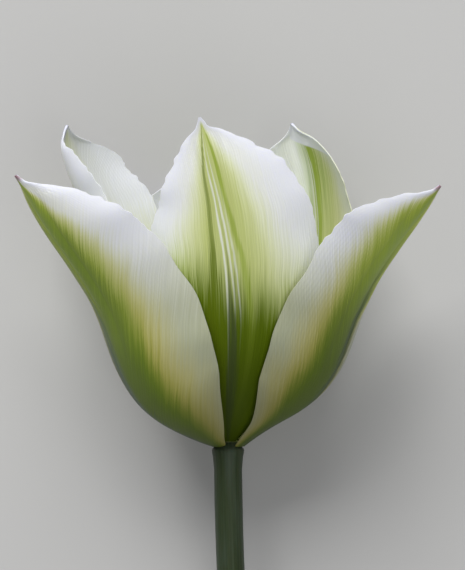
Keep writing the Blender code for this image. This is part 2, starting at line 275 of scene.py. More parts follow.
# %% Sizes of the margins
THINNEST_HALF = mm(0.1)
SIDE_PHASE = 75  # between the waves of the two margins, in degrees
BAY_LENGTH = mm(10.5)
BAY_DEPTH = mm(0.25)
BAY_REACH = (0.35, 0.2, 0.08)  # where up the blade bays start, and over how much they come and go
SCALLOP_LENGTHS = mm(3.3, 2.1)
SCALLOP_DEPTHS = mm(0.22, 0.12)
SCALLOP_REACH = (0.6, 0.25, 0.05)
UNEVEN_SHARE = 0.6  # how much the scallops differ in depth
UNEVEN_LENGTH = 4.3  # over how many of them
SCALLOP_POWER = 6  # keeps scallops and nicks close to the margin
NICK_STEEPNESS = 3  # of a nick's upper side, against its lower one
print("bays:", BAY_LENGTH, "scallops:", SCALLOP_LENGTHS)

# %% Waves along a blade


def fade(along, start, rise, fall):
    """0 up to start, then 1 within rise, and 0 again over the last fall of a tepal's length."""
    return np.clip((along - start) / rise, 0, 1) * np.clip((1 - along) / fall, 0, 1)


def swing(along, tepal, wave_length, phase):
    """A wave along the tepal, with its phase in degrees."""
    return np.sin(2 * math.pi * along * tepal.length / wave_length + np.radians(phase))


def margin_phase(tepal, across):
    """Where the margin's waves start, in degrees: not the same on the two sides or on two tepals."""
    return 2 * tepal.azimuth + np.where(across < 0, SIDE_PHASE, 0)


print("bays halfway up the blade stand at", round(float(fade(0.5, *BAY_REACH)), 2), "of their depth")

# %% Half widths


def even_half_width(tepal, across, along):
    """The half width on this side of the midrib, with its broad bays and without scallops or nicks."""
    width = np.where(across < 0, ease(WIDTH_AT, tepal.left, along), ease(WIDTH_AT, tepal.right, along))
    bays = BAY_DEPTH * swing(along, tepal, BAY_LENGTH, margin_phase(tepal, across))
    return np.maximum(width + bays * fade(along, *BAY_REACH), THINNEST_HALF)


def half_width(tepal, across, along):
    """The half width as the margin has it. Scallops and nicks fade out quickly towards the midrib."""
    phase = margin_phase(tepal, across)
    ragged = np.zeros_like(across * along, dtype=float)
    for length, depth in zip(SCALLOP_LENGTHS, SCALLOP_DEPTHS):
        uneven = 1 + UNEVEN_SHARE * swing(along, tepal, UNEVEN_LENGTH * length, 3 * phase)
        ragged += depth * uneven * swing(along, tepal, length, phase) * fade(along, *SCALLOP_REACH)
    for side, place, depth, length in tepal.nicks:
        past = (along - place) * tepal.length / length
        bite = np.exp(-np.where(past > 0, NICK_STEEPNESS * past, past) ** 2)
        ragged -= np.where((across < 0) == (side < 0), depth * bite, 0)
    even = even_half_width(tepal, across, along)
    return np.maximum(even + ragged * np.abs(across) ** SCALLOP_POWER, THINNEST_HALF)


for tepal in TEPALS:
    print(tepal.name, "widest half:", round(float(half_width(tepal, 1, np.linspace(0, 1, 50)).max()), 4))

# %% [markdown]
# ## Keel, grooves, ribs and waves
#
# The midrib stands out of the outside as a low keel between two grooves. Fine ribs run lengthwise, and the
# margins wave. A bump map could fake them, but the mesh itself would stay plain, so they are part of the
# shape. Each is a height above the plain bend, and the heights are added.

# %% Sizes of the relief
KEEL_HEIGHT = mm(0.35)
KEEL_WIDTH = mm(2.2)
KEEL_REACH = (0, 0.2, 0.1)
GROOVE_DEPTH = mm(0.22)  # on each side of the keel
GROOVE_PLACE = mm(2.9)
GROOVE_WIDTH = mm(0.9)
GROOVE_REACH = (0.3, 0.3, 0.08)
RIB_SPACING = mm(0.95)  # between the fine ribs that run lengthwise
RIB_HEIGHT = mm(0.025)
RIB_REACH = (0.12, 0.2, 0.12)
RIB_START = 4  # how fast the ribs set in beside the midrib
WAVE_LENGTH = mm(17.0)
WAVES = {True: mm(0.2), False: mm(0.34)}  # outer or inner
WAVE_REACH = (0.2, 0.3, 0.12)
WAVE_POWER = 3  # keeps the waves in the outer part of each half
RUFFLE_LENGTH = mm(6.5)
RUFFLE_HEIGHT = mm(0.05)
RUFFLE_REACH = (0.55, 0.2, 0.06)
RUFFLE_POWER = 8  # and the ruffles at the margin
WAVE_PHASE = 120  # between the two halves' waves, in degrees
print("keel:", KEEL_HEIGHT, "ribs:", RIB_HEIGHT, "ruffles:", RUFFLE_HEIGHT)

# %% The relief of a blade


def relief(tepal, across, along, half):
    """How far the blade stands out from its plain bend: keel, grooves, ribs, waves and ruffles."""
    aside = across * half
    keel = KEEL_HEIGHT * np.exp(-((aside / KEEL_WIDTH) ** 2))
    groove = GROOVE_DEPTH * np.exp(-(((np.abs(aside) - GROOVE_PLACE) / GROOVE_WIDTH) ** 2))
    groove = groove * fade(along, *GROOVE_REACH)
    widest = max(max(tepal.left), max(tepal.right))
    ribs = RIB_HEIGHT * np.cos(2 * math.pi * across * widest / RIB_SPACING)
    ribs = ribs * fade(along, *RIB_REACH) * np.clip(np.abs(across) * RIB_START, 0, 1)
    side_phase = tepal.azimuth + np.where(across < 0, 0, WAVE_PHASE)
    wave = WAVES[tepal.is_outer] * swing(along, tepal, WAVE_LENGTH, side_phase)
    wave = wave * fade(along, *WAVE_REACH) * np.abs(across) ** WAVE_POWER
    ruffle = RUFFLE_HEIGHT * swing(along, tepal, RUFFLE_LENGTH, 2 * side_phase)
    ruffle = ruffle * fade(along, *RUFFLE_REACH) * np.abs(across) ** RUFFLE_POWER
    return (keel - groove) * fade(along, *KEEL_REACH) + ribs - wave - ruffle


print("keel at mid height:", round(float(relief(TEPALS[0], 0, np.array([0.5]), mm(20.0))[0]), 5))

# %% [markdown]
# ## Where the flower touches the table
#
# A soft blade that lies on a table gives a little. Points that would sink below the table are raised to
# lie on it, with a low arch between two small spots, so the flower rests on the spots and on its stem.

# %% Lying on the table
BLADE_THICKNESS = mm(0.7)
ARCH_HEIGHT = mm(0.3)
ARCH_WIDTH = mm(8.2)  # from the midrib to each spot
SPOT_PLACE = mm(61.4)
SPOT_LENGTH = mm(4.0)
SPOT_FADE = mm(4.0)  # over which the blade rises past a spot's ends


def laid_on_table(sheet, tepal):
    """The sheet in the world, with what would sink below the table lying on it."""
    to_world = bloom @ Matrix.Rotation(math.radians(tepal.azimuth), 4, "Z")
    world = sheet @ np.array(to_world.to_3x3()).T + np.array(to_world.translation)
    arch = 1 - (world[..., 0] / ARCH_WIDTH) ** 2
    past = (np.abs(world[..., 1] - SPOT_PLACE) - SPOT_LENGTH / 2) / SPOT_FADE
    rise = ARCH_HEIGHT * (np.clip(arch, 0, 1) + np.clip(past, 0, 1))
    world[..., 2] = np.maximum(world[..., 2], BLADE_THICKNESS / 2 + rise)
    return world


low = laid_on_table(np.array([[0.0, 0.0, 0.2]]), OUTER_TEPALS[2])
print("a point far out on the lowest tepal comes to height", round(float(low[0, 2]), 5))

# %% [markdown]
# ## The middle sheet
#
# Halfway through its thickness a tepal is a thin sheet. Each half leaves the midrib as an arc that turns
# towards the axis. Near the root, where all the tepals grow out of one ring, the sheet turns smoothly into
# a piece of that ring.

# %% The middle sheet of a blade
RING_END = 0.25
RING_TURN = 56.0


def middle_sheet(tepal, across, along):
    """World points halfway through the blade. across runs from -1 to 1, along from root to tip."""
    reach, height, drift, slope, sway = midrib(tepal, along)
    half = half_width(tepal, across, along)
    wrap_left = ease(BEND_AT, tepal.wrap_left, along)
    wrap_right = ease(BEND_AT, tepal.wrap_right, along)
    turn = across * np.radians(np.where(across < 0, wrap_left, wrap_right))
    turn = turn * half / even_half_width(tepal, across, along)  # a scallop follows the bend
    bend_radius = across * half / np.where(across == 0, 1, turn)
    inward = np.stack([-np.sin(slope), np.zeros_like(slope), np.cos(slope)], axis=-1)
    forward = np.stack(
        [np.cos(slope) * np.cos(sway), np.sin(sway), np.sin(slope) * np.cos(sway)], axis=-1
    )
    sideways = np.cross(inward, forward)
    sideways /= np.linalg.norm(sideways, axis=-1, keepdims=True)
    out = bend_radius * np.sin(turn)
    lift = bend_radius * (1 - np.cos(turn)) - relief(tepal, across, along, half)
    blade = np.stack([reach, drift, height], axis=-1)
    blade = blade + out[..., None] * sideways + lift[..., None] * inward
    turn = across * np.minimum(half / reach, math.radians(RING_TURN))
    ring = np.stack([reach * np.cos(turn), reach * np.sin(turn), height], axis=-1)
    share = np.clip(along / RING_END, 0, 1)
    share = (share * share * (3 - 2 * share))[..., None]
    return laid_on_table(ring * (1 - share) + blade * share, tepal)


tip = middle_sheet(TEPALS[0], np.array([0.0]), np.array([1.0]))[0]
print("the left tip is at", [round(float(x), 4) for x in tip])

# %% [markdown]
# ## From a flat grid to a blade
#
# A flat grid is the plainest start for a leaf. Its columns become lines that run from root to tip, as the
# veins do, and its rows cross the blade, so a place on the grid says at once how far across and how far
# along the tepal it is. The grid's corners are moved by formula, because no operator bends a sheet this
# way, and Solidify then gives the blade a thickness that tapers to its margins. The same two numbers become
# the UV map, so every vein and flame is painted along the tepal and not through space.

# %% From a flat grid to a blade
BLADE_COLUMNS = 150
BLADE_ROWS = 130
ROW_CROWDING = 0.35  # how much closer the rows stand at the tip than on average
MARGIN_THICKNESS = 0.3  # at the margin, as a share of the thickness in the middle
MARGIN_TAPER = 6  # the power that keeps the taper close to the margin
PETAL_CREASE = math.radians(60)  # faces that meet at less than this are shaded as one surface


def tidy_selection():
    """Leaves nothing selected, so that the next operator acts on its own new piece alone."""
    bpy.ops.object.select_all(action="DESELECT")


def grow_tepal(tepal):
    """A grid shaped into the tepal's middle sheet, thickened, with its place on the blade as its UV map."""
    tidy_selection()
    bpy.ops.mesh.primitive_grid_add(x_subdivisions=BLADE_COLUMNS, y_subdivisions=BLADE_ROWS, size=2)
    made = bpy.context.object
    made.name = "petal_" + tepal.name.removeprefix("tepal_")
    mesh = made.data
    flat = np.empty(len(mesh.vertices) * 3, np.float32)
    mesh.vertices.foreach_get("co", flat)
    flat = flat.reshape(-1, 3).astype(float)
    across = flat[:, 0]
    share = (flat[:, 1] + 1) / 2
    along = share * (1 + ROW_CROWDING * (1 - share))
    points = middle_sheet(tepal, across, along)
    mesh.vertices.foreach_set("co", points.astype(np.float32).ravel())
    corners = np.empty(len(mesh.loops), np.int32)
    mesh.loops.foreach_get("vertex_index", corners)
    places = np.stack([across / 2 + 0.5, along], axis=-1)
    mesh.uv_layers[0].data.foreach_set("uv", places[corners].astype(np.float32).ravel())
    for _ in ("outside", "inside"):
        mesh.materials.append(None)  # Solidify needs both slots to tell its two faces apart
    thick = made.vertex_groups.new(name="thick")
    for index, weight in enumerate(1 - np.abs(across) ** MARGIN_TAPER):
        thick.add([index], float(weight), "REPLACE")
    mesh.update()
    shell = made.modifiers.new("thickness", "SOLIDIFY")
    shell.thickness = BLADE_THICKNESS
    shell.offset = 0
    shell.vertex_group = thick.name
    shell.thickness_vertex_group = MARGIN_THICKNESS
    shell.material_offset = 1
    bpy.ops.object.modifier_apply(modifier=shell.name)
    made.vertex_groups.clear()
    bpy.ops.object.shade_smooth_by_angle(angle=PETAL_CREASE)
    return made


petals = {}
for tepal in TEPALS:
    petals[tepal.name] = grow_tepal(tepal)
    print(petals[tepal.name].name, "faces:", len(petals[tepal.name].data.polygons))

# %% [markdown]
# ## Painting with nodes
#
# A material is a tree of small nodes. Placed one by one in code they hide what they are for, so a class
# adds them: each call makes one node, links what it is given, and returns the new node's output.

# %% Nodes and links


class Nodes:
    """One new material, with short ways to add nodes to it."""

    def __init__(self, name, **finish):
        self.material = bpy.data.materials.new(name)
        self.material.use_nodes = True
        self.tree = self.material.node_tree
        self.shader = self.tree.nodes["Principled BSDF"]
        for socket, value in finish.items():
            self.shader.inputs[socket.replace("_", " ")].default_value = value

    def node(self, kind, links=(), **settings):
        made = self.tree.nodes.new(kind)
        for name, value in settings.items():
            setattr(made, name, value)
        for socket, value in dict(links).items():
            self.feed(made.inputs[socket], value)
        return made

    def feed(self, socket, value):
        if isinstance(value, bpy.types.NodeSocket):
            self.tree.links.new(value, socket)
        else:
            socket.default_value = value

    def math(self, operation, *values):
        return self.node("ShaderNodeMath", dict(enumerate(values)), operation=operation).outputs[0]

    def mix(self, share, first, second, blend="MIX"):
        made = self.node("ShaderNodeMix", data_type="RGBA", blend_type=blend)
        self.feed(made.inputs[0], share)
        for socket, color in zip((made.inputs[6], made.inputs[7]), (first, second)):
            self.feed(socket, color if isinstance(color, bpy.types.NodeSocket) else (*color, 1))
        return made.outputs[2]


print("node helpers:", [name for name in vars(Nodes) if not name.startswith("_")])

# %% [markdown]
# ## Curves, ramps and noise
#
# Most patterns on a petal come from four tools: a smooth step, a curve through a few points, a ramp of
# colours, and noise. The finished colour and a height for the fine relief then go into the shader.

# %% Patterns


class Paint(Nodes):
    """Adds the patterns that petals and stems need, and links the last of them to the shader."""

    def smooth(self, value, low, high):
        """0 below low and 1 above high, smoothly."""
        links = {"Value": value, "From Min": low, "From Max": high}
        return self.node("ShaderNodeMapRange", links, interpolation_type="SMOOTHSTEP").outputs[0]

    def curve(self, value, places, heights):
        """A smooth curve of value through a few points."""
        made = self.node("ShaderNodeFloatCurve", {"Value": value})
        points = made.mapping.curves[0].points
        while len(points) < len(places):
            points.new(0.5, 0.5)
        for point, place, height in zip(points, places, heights):
            point.location = (place, height)
        made.mapping.update()
        return made.outputs[0]

    def ramp(self, value, stops):
        """Colours at a few places between 0 and 1."""
        made = self.node("ShaderNodeValToRGB", {"Fac": value})
        elements = made.color_ramp.elements
        while len(elements) < len(stops):
            elements.new(0.5)
        for element, (place, color) in zip(elements, stops):
            element.position = place
            element.color = (*color, 1)
        return made.outputs[0]

    def noise(self, x, y, z, detail, scale=1.0):
        """Noise at a place that is made of three numbers."""
        place = self.node("ShaderNodeCombineXYZ", {"X": x, "Y": y, "Z": z}).outputs[0]
        links = {"Vector": place, "Scale": scale, "Detail": detail}
        return self.node("ShaderNodeTexNoise", links).outputs[0]

    def grain(self, scale, detail):
        """Noise in the object's own space."""
        place = self.node("ShaderNodeTexCoord").outputs["Object"]
        links = {"Vector": place, "Scale": scale, "Detail": detail}
        return self.node("ShaderNodeTexNoise", links).outputs[0]

    def uv(self):
        """The two numbers of the piece's UV map."""
        place = self.node("ShaderNodeUVMap", uv_map="UVMap").outputs[0]
        split = self.node("ShaderNodeSeparateXYZ", {"Vector": place})
        return split.outputs[0], split.outputs[1]

    def scaled(self, value, factor):
        return self.math("MULTIPLY", value, factor)

    def finish(self, color, height=None, depth=0.0, strength=1.0):
        self.feed(self.shader.inputs["Base Color"], color)
        if height is not None:
            links = {"Height": height, "Distance": depth, "Strength": strength}
            bump = self.node("ShaderNodeBump", links)
            self.feed(self.shader.inputs["Normal"], bump.outputs[0])
        return self.material


print("pattern helpers:", [name for name in vars(Paint) if not name.startswith("_")])

# %% [markdown]
# ## Following the veins
#
# The streaks and the ragged edge of a tulip's colours follow its veins. On the outer tepals the veins
# leave the midrib one after another and run up to the margin. On the inner ones they run beside the midrib
# to the tip. So one number is made that keeps its value all along a vein: the place across, times a
# spread, less a start, which both change up the blade. Noise in that number gives streaks along the veins.

# %% Places on a blade
FLAME_AT = (0, 0.1, 0.2, 0.3, 0.4, 0.5, 0.6, 0.7, 0.8, 0.9, 1)
OUTER_SPREAD = (0.2, 0.34, 0.56, 0.76, 0.84, 0.84, 0.75, 0.72, 0.62, 0.4, 0.05)
OUTER_START = (0.24, 0.42, 0.66, 0.9, 1.04, 1.14, 1.26, 1.44, 1.61, 1.78, 1.9)
INNER_SPREAD = (1, 1, 1, 1, 1, 1, 1, 0.97, 0.86, 0.5, 0.03)
INNER_START = (0,) * len(FLAME_AT)
# How fast each noise changes across and along the veins, its layer, and its detail
VEIN_NOISES = ((8.0, 1.3, 0.0, 1.0), (66.0, 3.4, 5.0, 2.0), (150.0, 6.0, 9.0, 1.0))
SIDE_LAYER = 17.0  # sets the two halves' noises apart


def places(paint, skin):
    """The places across and along the blade, across its veins, and across from margin to margin."""
    place, along = paint.uv()
    across = paint.math("MULTIPLY_ADD", place, 2.0, -1.0)
    spread = paint.curve(along, FLAME_AT, skin.spread)
    start = paint.curve(along, FLAME_AT, [value / 2 for value in skin.start])  # curves end at 1
    vein = paint.math("MULTIPLY", paint.math("ABSOLUTE", across), spread)
    vein = paint.math("MULTIPLY_ADD", start, -2.0, vein)
    return across, along, vein, place


def vein_noises(paint, across, along, vein, seed):
    """Broad, streaky and fine noise along the veins, each of them about 0."""
    layer = paint.math("MULTIPLY_ADD", paint.math("GREATER_THAN", across, 0.0), SIDE_LAYER, seed)
    noises = []
    for over, up, shift, detail in VEIN_NOISES:
        depth = paint.math("ADD", layer, shift)
        noise = paint.noise(paint.scaled(vein, over), paint.scaled(along, up), depth, detail=detail)
        noises.append(paint.math("SUBTRACT", noise, 0.5))
    return noises


print("noises along the veins:", len(VEIN_NOISES))

# %% [markdown]
# ## What a petal's skin is
#
# A flamed tulip is creamy white with a broad green flame up the middle of each tepal. On the outer three
# the flame has a yellow edge, and everything fades to a darker grey-green at the root, partly its own
# colour and partly painted shade. A photo could be wrapped round the blades, but it would show its own
# light and end at the limb. So one small record describes each face: the flame's width, its colours low
# and high on the blade, its stripes, and its tip.

# %% Stripe and skin
# The upper margins' lavender-white: the margin's own white with a painted highlight in it. It also colours
# the inner tips.
LAVENDER_WHITE = (0.84, 0.86, 0.96)
CUSP_PINK = (0.40, 0.26, 0.30)
STRIPE_AT = (0, 0.4, 0.5, 0.6, 0.7, 0.8, 0.9, 1)


@dataclass
class Stripe:
    """A streak that climbs the blade. Places across it run from 0 at its left margin to 1 at its right."""

    color: tuple
    centre: tuple
    half: tuple
    strength: tuple


@dataclass
class Skin:
    """One face of a tepal. The flame's half widths are shares of the blade's own, at FLAME_AT."""

    left: tuple
    right: tuple
    low: tuple  # colours from the midrib to the margin, low on the blade
    high: tuple  # and high on it
    blend: tuple = (0.35, 0.75)
    lean: float = 0.0  # how much earlier the right side turns to its high colours
    # how much darker the blade is towards the root, at FLAME_AT: partly its own colour, partly painted shade
    root_tone_and_painted_shade: tuple = (0.35, 0.42, 0.50, 0.60, 0.70, 0.80, 0.90, 0.96, 1, 1, 1)
    spread: tuple = OUTER_SPREAD
    start: tuple = OUTER_START
    ragged: tuple = (0.1, 0.2, 0.3, 0.35, 0.4, 0.45, 0.5, 0.6, 0.7, 0.8, 0.8)
    stripes: tuple = ()
    margin: float = 0.9  # how strongly the upper margin turns lavender-white: its own white with a painted highlight
    tip: tuple = CUSP_PINK
    tip_from: tuple = (0.976, 0.996)
    tip_lean: float = 0.0  # how much further up the tip's colour begins on the right side
    gloss: float = 0.1


print("a skin has", len(Skin.__dataclass_fields__), "values")

# %% [markdown]
# ## The flame
#
# The flame's edge is ragged, because the green follows the veins. The distance from the midrib is measured
# against the flame's own half width at that height, and noise along the veins is added. A colour ramp turns
# that one number into green, yellow, cream and white. The ramp for the high colours takes over up the blade.

# %% The flame
FINE_SHARE = 0.7  # of the fine noise in the ragged edge
TURN_STREAKS = (0.18, 0.10)  # how far streaky and fine noise shift the change to the high colours


def flame_color(paint, skin, across, along, noises):
    """The flame from the midrib to the margin, with its low colours turning to the high ones."""
    broad, streak, fine = noises
    ragged = paint.math("MULTIPLY_ADD", fine, FINE_SHARE, paint.math("ADD", broad, streak))
    ragged = paint.math("MULTIPLY", ragged, paint.curve(along, FLAME_AT, skin.ragged))
    left = paint.curve(along, FLAME_AT, skin.left)
    right = paint.curve(along, FLAME_AT, skin.right)
    is_right = paint.math("GREATER_THAN", across, 0.0)
    edge = paint.math("MULTIPLY_ADD", paint.math("SUBTRACT", right, left), is_right, left)
    distance = paint.math("DIVIDE", paint.math("ABSOLUTE", across), edge)
    distance = paint.scaled(paint.math("ADD", distance, ragged), 0.5)
    turned = paint.math("MULTIPLY_ADD", across, skin.lean, along)
    turned = paint.math("MULTIPLY_ADD", streak, TURN_STREAKS[0], turned)
    turned = paint.math("MULTIPLY_ADD", fine, TURN_STREAKS[1], turned)
    high = paint.smooth(turned, *skin.blend)
    return paint.mix(high, paint.ramp(distance, skin.low), paint.ramp(distance, skin.high))


print("a flame's width is given at", len(FLAME_AT), "places")

# %% [markdown]
# ## Stripes
#
# Beside the midrib of an inner tepal run a few pale lines and darker bands. Each stripe has a centre, a
# half width and a strength that change up the blade, and its edge is roughened by the same vein noise.

# %% Stripes
THINNEST_STRIPE = 0.002
STRIPE_EDGE = (0.4, 1.6)  # where a stripe begins and ends to fade, in its half widths


def paint_stripe(paint, color, stripe, place, along, unevenness):
    """The colour with one stripe over it."""
    centre = paint.curve(along, STRIPE_AT, stripe.centre)
    half = paint.math("MAXIMUM", paint.curve(along, STRIPE_AT, stripe.half), THINNEST_STRIPE)
    off = paint.math("DIVIDE", paint.math("SUBTRACT", place, centre), half)
    off = paint.math("ADD", paint.math("ABSOLUTE", off), unevenness)
    cover = paint.math("SUBTRACT", 1.0, paint.smooth(off, *STRIPE_EDGE))
    cover = paint.math("MULTIPLY", cover, paint.curve(along, STRIPE_AT, stripe.strength))
    return paint.mix(cover, color, stripe.color)


print("a stripe is given at", len(STRIPE_AT), "places")

# %% [markdown]
# ## Fine veins, root and margin
#
# Very fine veins show as thin lines a third of a millimetre apart. A wave across the veins gives them, and
# noise makes it wander and come and go. Towards the root the whole blade darkens, partly its own colour and
# partly painted shade. High on the blade the margin turns lavender-white, its own white with a painted
# highlight in it, and the tip has a colour of its own.

# %% Fine veins, root and margin
VEIN_SPACING = 0.027  # between the fine veins, as a share of the half width
VEIN_WANDER = 9.0
VEIN_CONTRAST = 0.045
STREAK_CONTRAST = 0.07
GRAIN_CONTRAST = 0.15
VEIN_GAPS = (-0.2, 0.2)  # the streaky noise at which the veins are gone, and at which they are full
# Where the upper margin turns lavender-white, its own white with a painted highlight
MARGIN_FROM = (0.42, 0.88)  # across the blade
MARGIN_UP = (0.52, 0.82)  # and along it
MARGIN_STREAKS = 0.3


def fine_veins(paint, vein, noises):
    """A wave across the veins that wanders, and that comes and goes."""
    broad, streak, _ = noises
    wave = paint.math("MULTIPLY_ADD", vein, 2 * math.pi / VEIN_SPACING, paint.scaled(broad, VEIN_WANDER))
    return paint.math("MULTIPLY", paint.math("COSINE", wave), paint.smooth(streak, *VEIN_GAPS))


def shaded(paint, skin, color, along, noises, veins):
    """The colour with its streaks and fine veins, darker towards the root: own colour and painted shade."""
    grey = paint.math("MULTIPLY_ADD", noises[2], GRAIN_CONTRAST, 1.0)
    grey = paint.math("MULTIPLY_ADD", noises[1], STREAK_CONTRAST, grey)
    grey = paint.math("MULTIPLY_ADD", veins, VEIN_CONTRAST, grey)
    grey = paint.math("MULTIPLY", grey, paint.curve(along, FLAME_AT, skin.root_tone_and_painted_shade))
    grey = paint.node("ShaderNodeCombineColor", {0: grey, 1: grey, 2: grey}).outputs[0]
    return paint.mix(1.0, color, grey, "MULTIPLY")


def margin_and_tip(paint, skin, color, across, along, streak):
    """The colour with an upper margin of white and painted highlight, and the tip's colour."""
    out = paint.math("MULTIPLY_ADD", streak, MARGIN_STREAKS, paint.math("ABSOLUTE", across))
    at_margin = paint.math("MULTIPLY", paint.smooth(out, *MARGIN_FROM), paint.smooth(along, *MARGIN_UP))
    color = paint.mix(paint.scaled(at_margin, skin.margin), color, LAVENDER_WHITE)
    tipped = paint.math("MULTIPLY_ADD", across, -skin.tip_lean, along)
    return paint.mix(paint.smooth(tipped, *skin.tip_from), color, skin.tip)


print("fine veins to a half width:", round(1 / VEIN_SPACING))

# %% [markdown]
# ## The whole skin
#
# A petal is matt, with a faint gloss, and light goes some way into it before it comes out again, which
# Subsurface gives. A plain white shader would look like card. The layers go on in order: flame, stripes,
# veins and root, margin and tip, and a little relief from the streaks and veins.

# %% The whole skin
UNEVEN_STRIPES = 2.0
RELIEF_SHARES = (0.4, 0.6, 0.25)  # of the streaks, the grain and the fine veins in the relief
RELIEF_DEPTH = mm(0.1)


def petal_skin(name, skin, seed):
    """A petal's face from its flame, colours and veins."""
    paint = Paint(
        name,
        Roughness=0.5,
        Specular_IOR_Level=skin.gloss,
        Subsurface_Weight=0.2,
        Subsurface_Radius=(1.0, 1.0, 0.7),
        Subsurface_Scale=mm(0.6),
    )
    across, along, vein, place = places(paint, skin)
    noises = vein_noises(paint, across, along, vein, seed)
    streak, fine = noises[1:]
    color = flame_color(paint, skin, across, along, noises)
    unevenness = paint.scaled(paint.math("ADD", streak, fine), UNEVEN_STRIPES)
    for stripe in skin.stripes:
        color = paint_stripe(paint, color, stripe, place, along, unevenness)
    veins = fine_veins(paint, vein, noises)
    color = shaded(paint, skin, color, along, noises, veins)
    color = margin_and_tip(paint, skin, color, across, along, streak)
    height = paint.math("MULTIPLY_ADD", streak, RELIEF_SHARES[0], paint.scaled(fine, RELIEF_SHARES[1]))
    height = paint.math("MULTIPLY_ADD", veins, RELIEF_SHARES[2], height)
    return paint.finish(color, height, depth=RELIEF_DEPTH, strength=0.4)


print("a petal's skin is made by", petal_skin.__name__)

# %% [markdown]
# ## The colours of the outer tepals
#
# Each ramp runs from the midrib, at 0, to the margin, at 1, and the flame ends near 0.5. On the outer
# tepals a grey-green flame turns to yellow and cream low down, and to lime and white near the tip.

# %% The outer tepals' colours
OUTER_LOW = (
    (0.0, (0.18, 0.25, 0.06)),
    (0.24, (0.17, 0.25, 0.035)),
    (0.37, (0.19, 0.28, 0.025)),
    (0.46, (0.31, 0.37, 0.05)),
    (0.56, (0.53, 0.51, 0.13)),
    (0.68, (0.63, 0.60, 0.25)),
    (0.82, (0.61, 0.61, 0.35)),
    (1.0, (0.56, 0.59, 0.41)),
)
OUTER_HIGH = (
    (0.0, (0.31, 0.41, 0.09)),
    (0.22, (0.33, 0.43, 0.06)),
    (0.38, (0.42, 0.51, 0.08)),
    (0.54, (0.57, 0.63, 0.20)),
    (0.69, (0.72, 0.74, 0.38)),
    (0.86, (0.82, 0.84, 0.66)),
    (1.0, (0.86, 0.88, 0.82)),
)
WIDE_FLAME = (1, 0.66, 0.54, 0.50, 0.45, 0.41, 0.36, 0.30, 0.24, 0.2, 0.2)
AWAY_FLAME = (1, 0.70, 0.46, 0.27, 0.25, 0.28, 0.38, 0.45, 0.45, 0.35, 0.3)
print("outer colours:", len(OUTER_LOW), "low,", len(OUTER_HIGH), "high")

# %% [markdown]
# ## The colours of the inner tepals
#
# The outside of an inner tepal is olive low down, and paler than the outer ones above. The insides are
# almost white, apart from the one that is seen with its green midrib.

# %% The inner tepals' colours
INNER_LOW = (
    (0.0, (0.10, 0.155, 0.004)),
    (0.2, (0.11, 0.17, 0.004)),
    (0.4, (0.16, 0.24, 0.006)),
    (0.55, (0.32, 0.43, 0.03)),
    (0.7, (0.50, 0.60, 0.14)),
    (0.85, (0.64, 0.71, 0.36)),
    (1.0, (0.72, 0.77, 0.52)),
)
INNER_HIGH = (
    (0.0, (0.52, 0.58, 0.23)),
    (0.25, (0.54, 0.60, 0.22)),
    (0.45, (0.65, 0.70, 0.35)),
    (0.62, (0.76, 0.80, 0.54)),
    (0.8, (0.81, 0.84, 0.70)),
    (1.0, (0.84, 0.86, 0.82)),
)
print("inner colours:", len(INNER_LOW), "low,", len(INNER_HIGH), "high")

# %% The insides' colours
INSIDE_LOW = (
    (0.0, (0.48, 0.58, 0.20)),
    (0.5, (0.60, 0.66, 0.32)),
    (1.0, (0.70, 0.73, 0.46)),
)
INSIDE_HIGH = (
    (0.0, (0.70, 0.73, 0.54)),
    (0.45, (0.72, 0.74, 0.64)),
    (1.0, (0.72, 0.74, 0.75)),
)
BACK_LOW = (
    (0.0, (0.34, 0.42, 0.12)),
    (0.1, (0.50, 0.56, 0.22)),
    (0.3, (0.66, 0.68, 0.35)),
    (0.5, (0.68, 0.69, 0.40)),
    (0.64, (0.62, 0.70, 0.45)),
    (1.0, (0.72, 0.78, 0.60)),
)
BACK_HIGH = (
    (0.0, (0.34, 0.44, 0.12)),
    (0.1, (0.44, 0.54, 0.18)),
    (0.3, (0.60, 0.64, 0.30)),
    (0.5, (0.66, 0.68, 0.40)),
    (0.64, (0.76, 0.83, 0.66)),
    (0.8, (0.86, 0.90, 0.82)),
    (1.0, (0.88, 0.91, 0.90)),
)
print("inside colours:", len(INSIDE_LOW), "plain,", len(BACK_LOW), "with a green midrib")
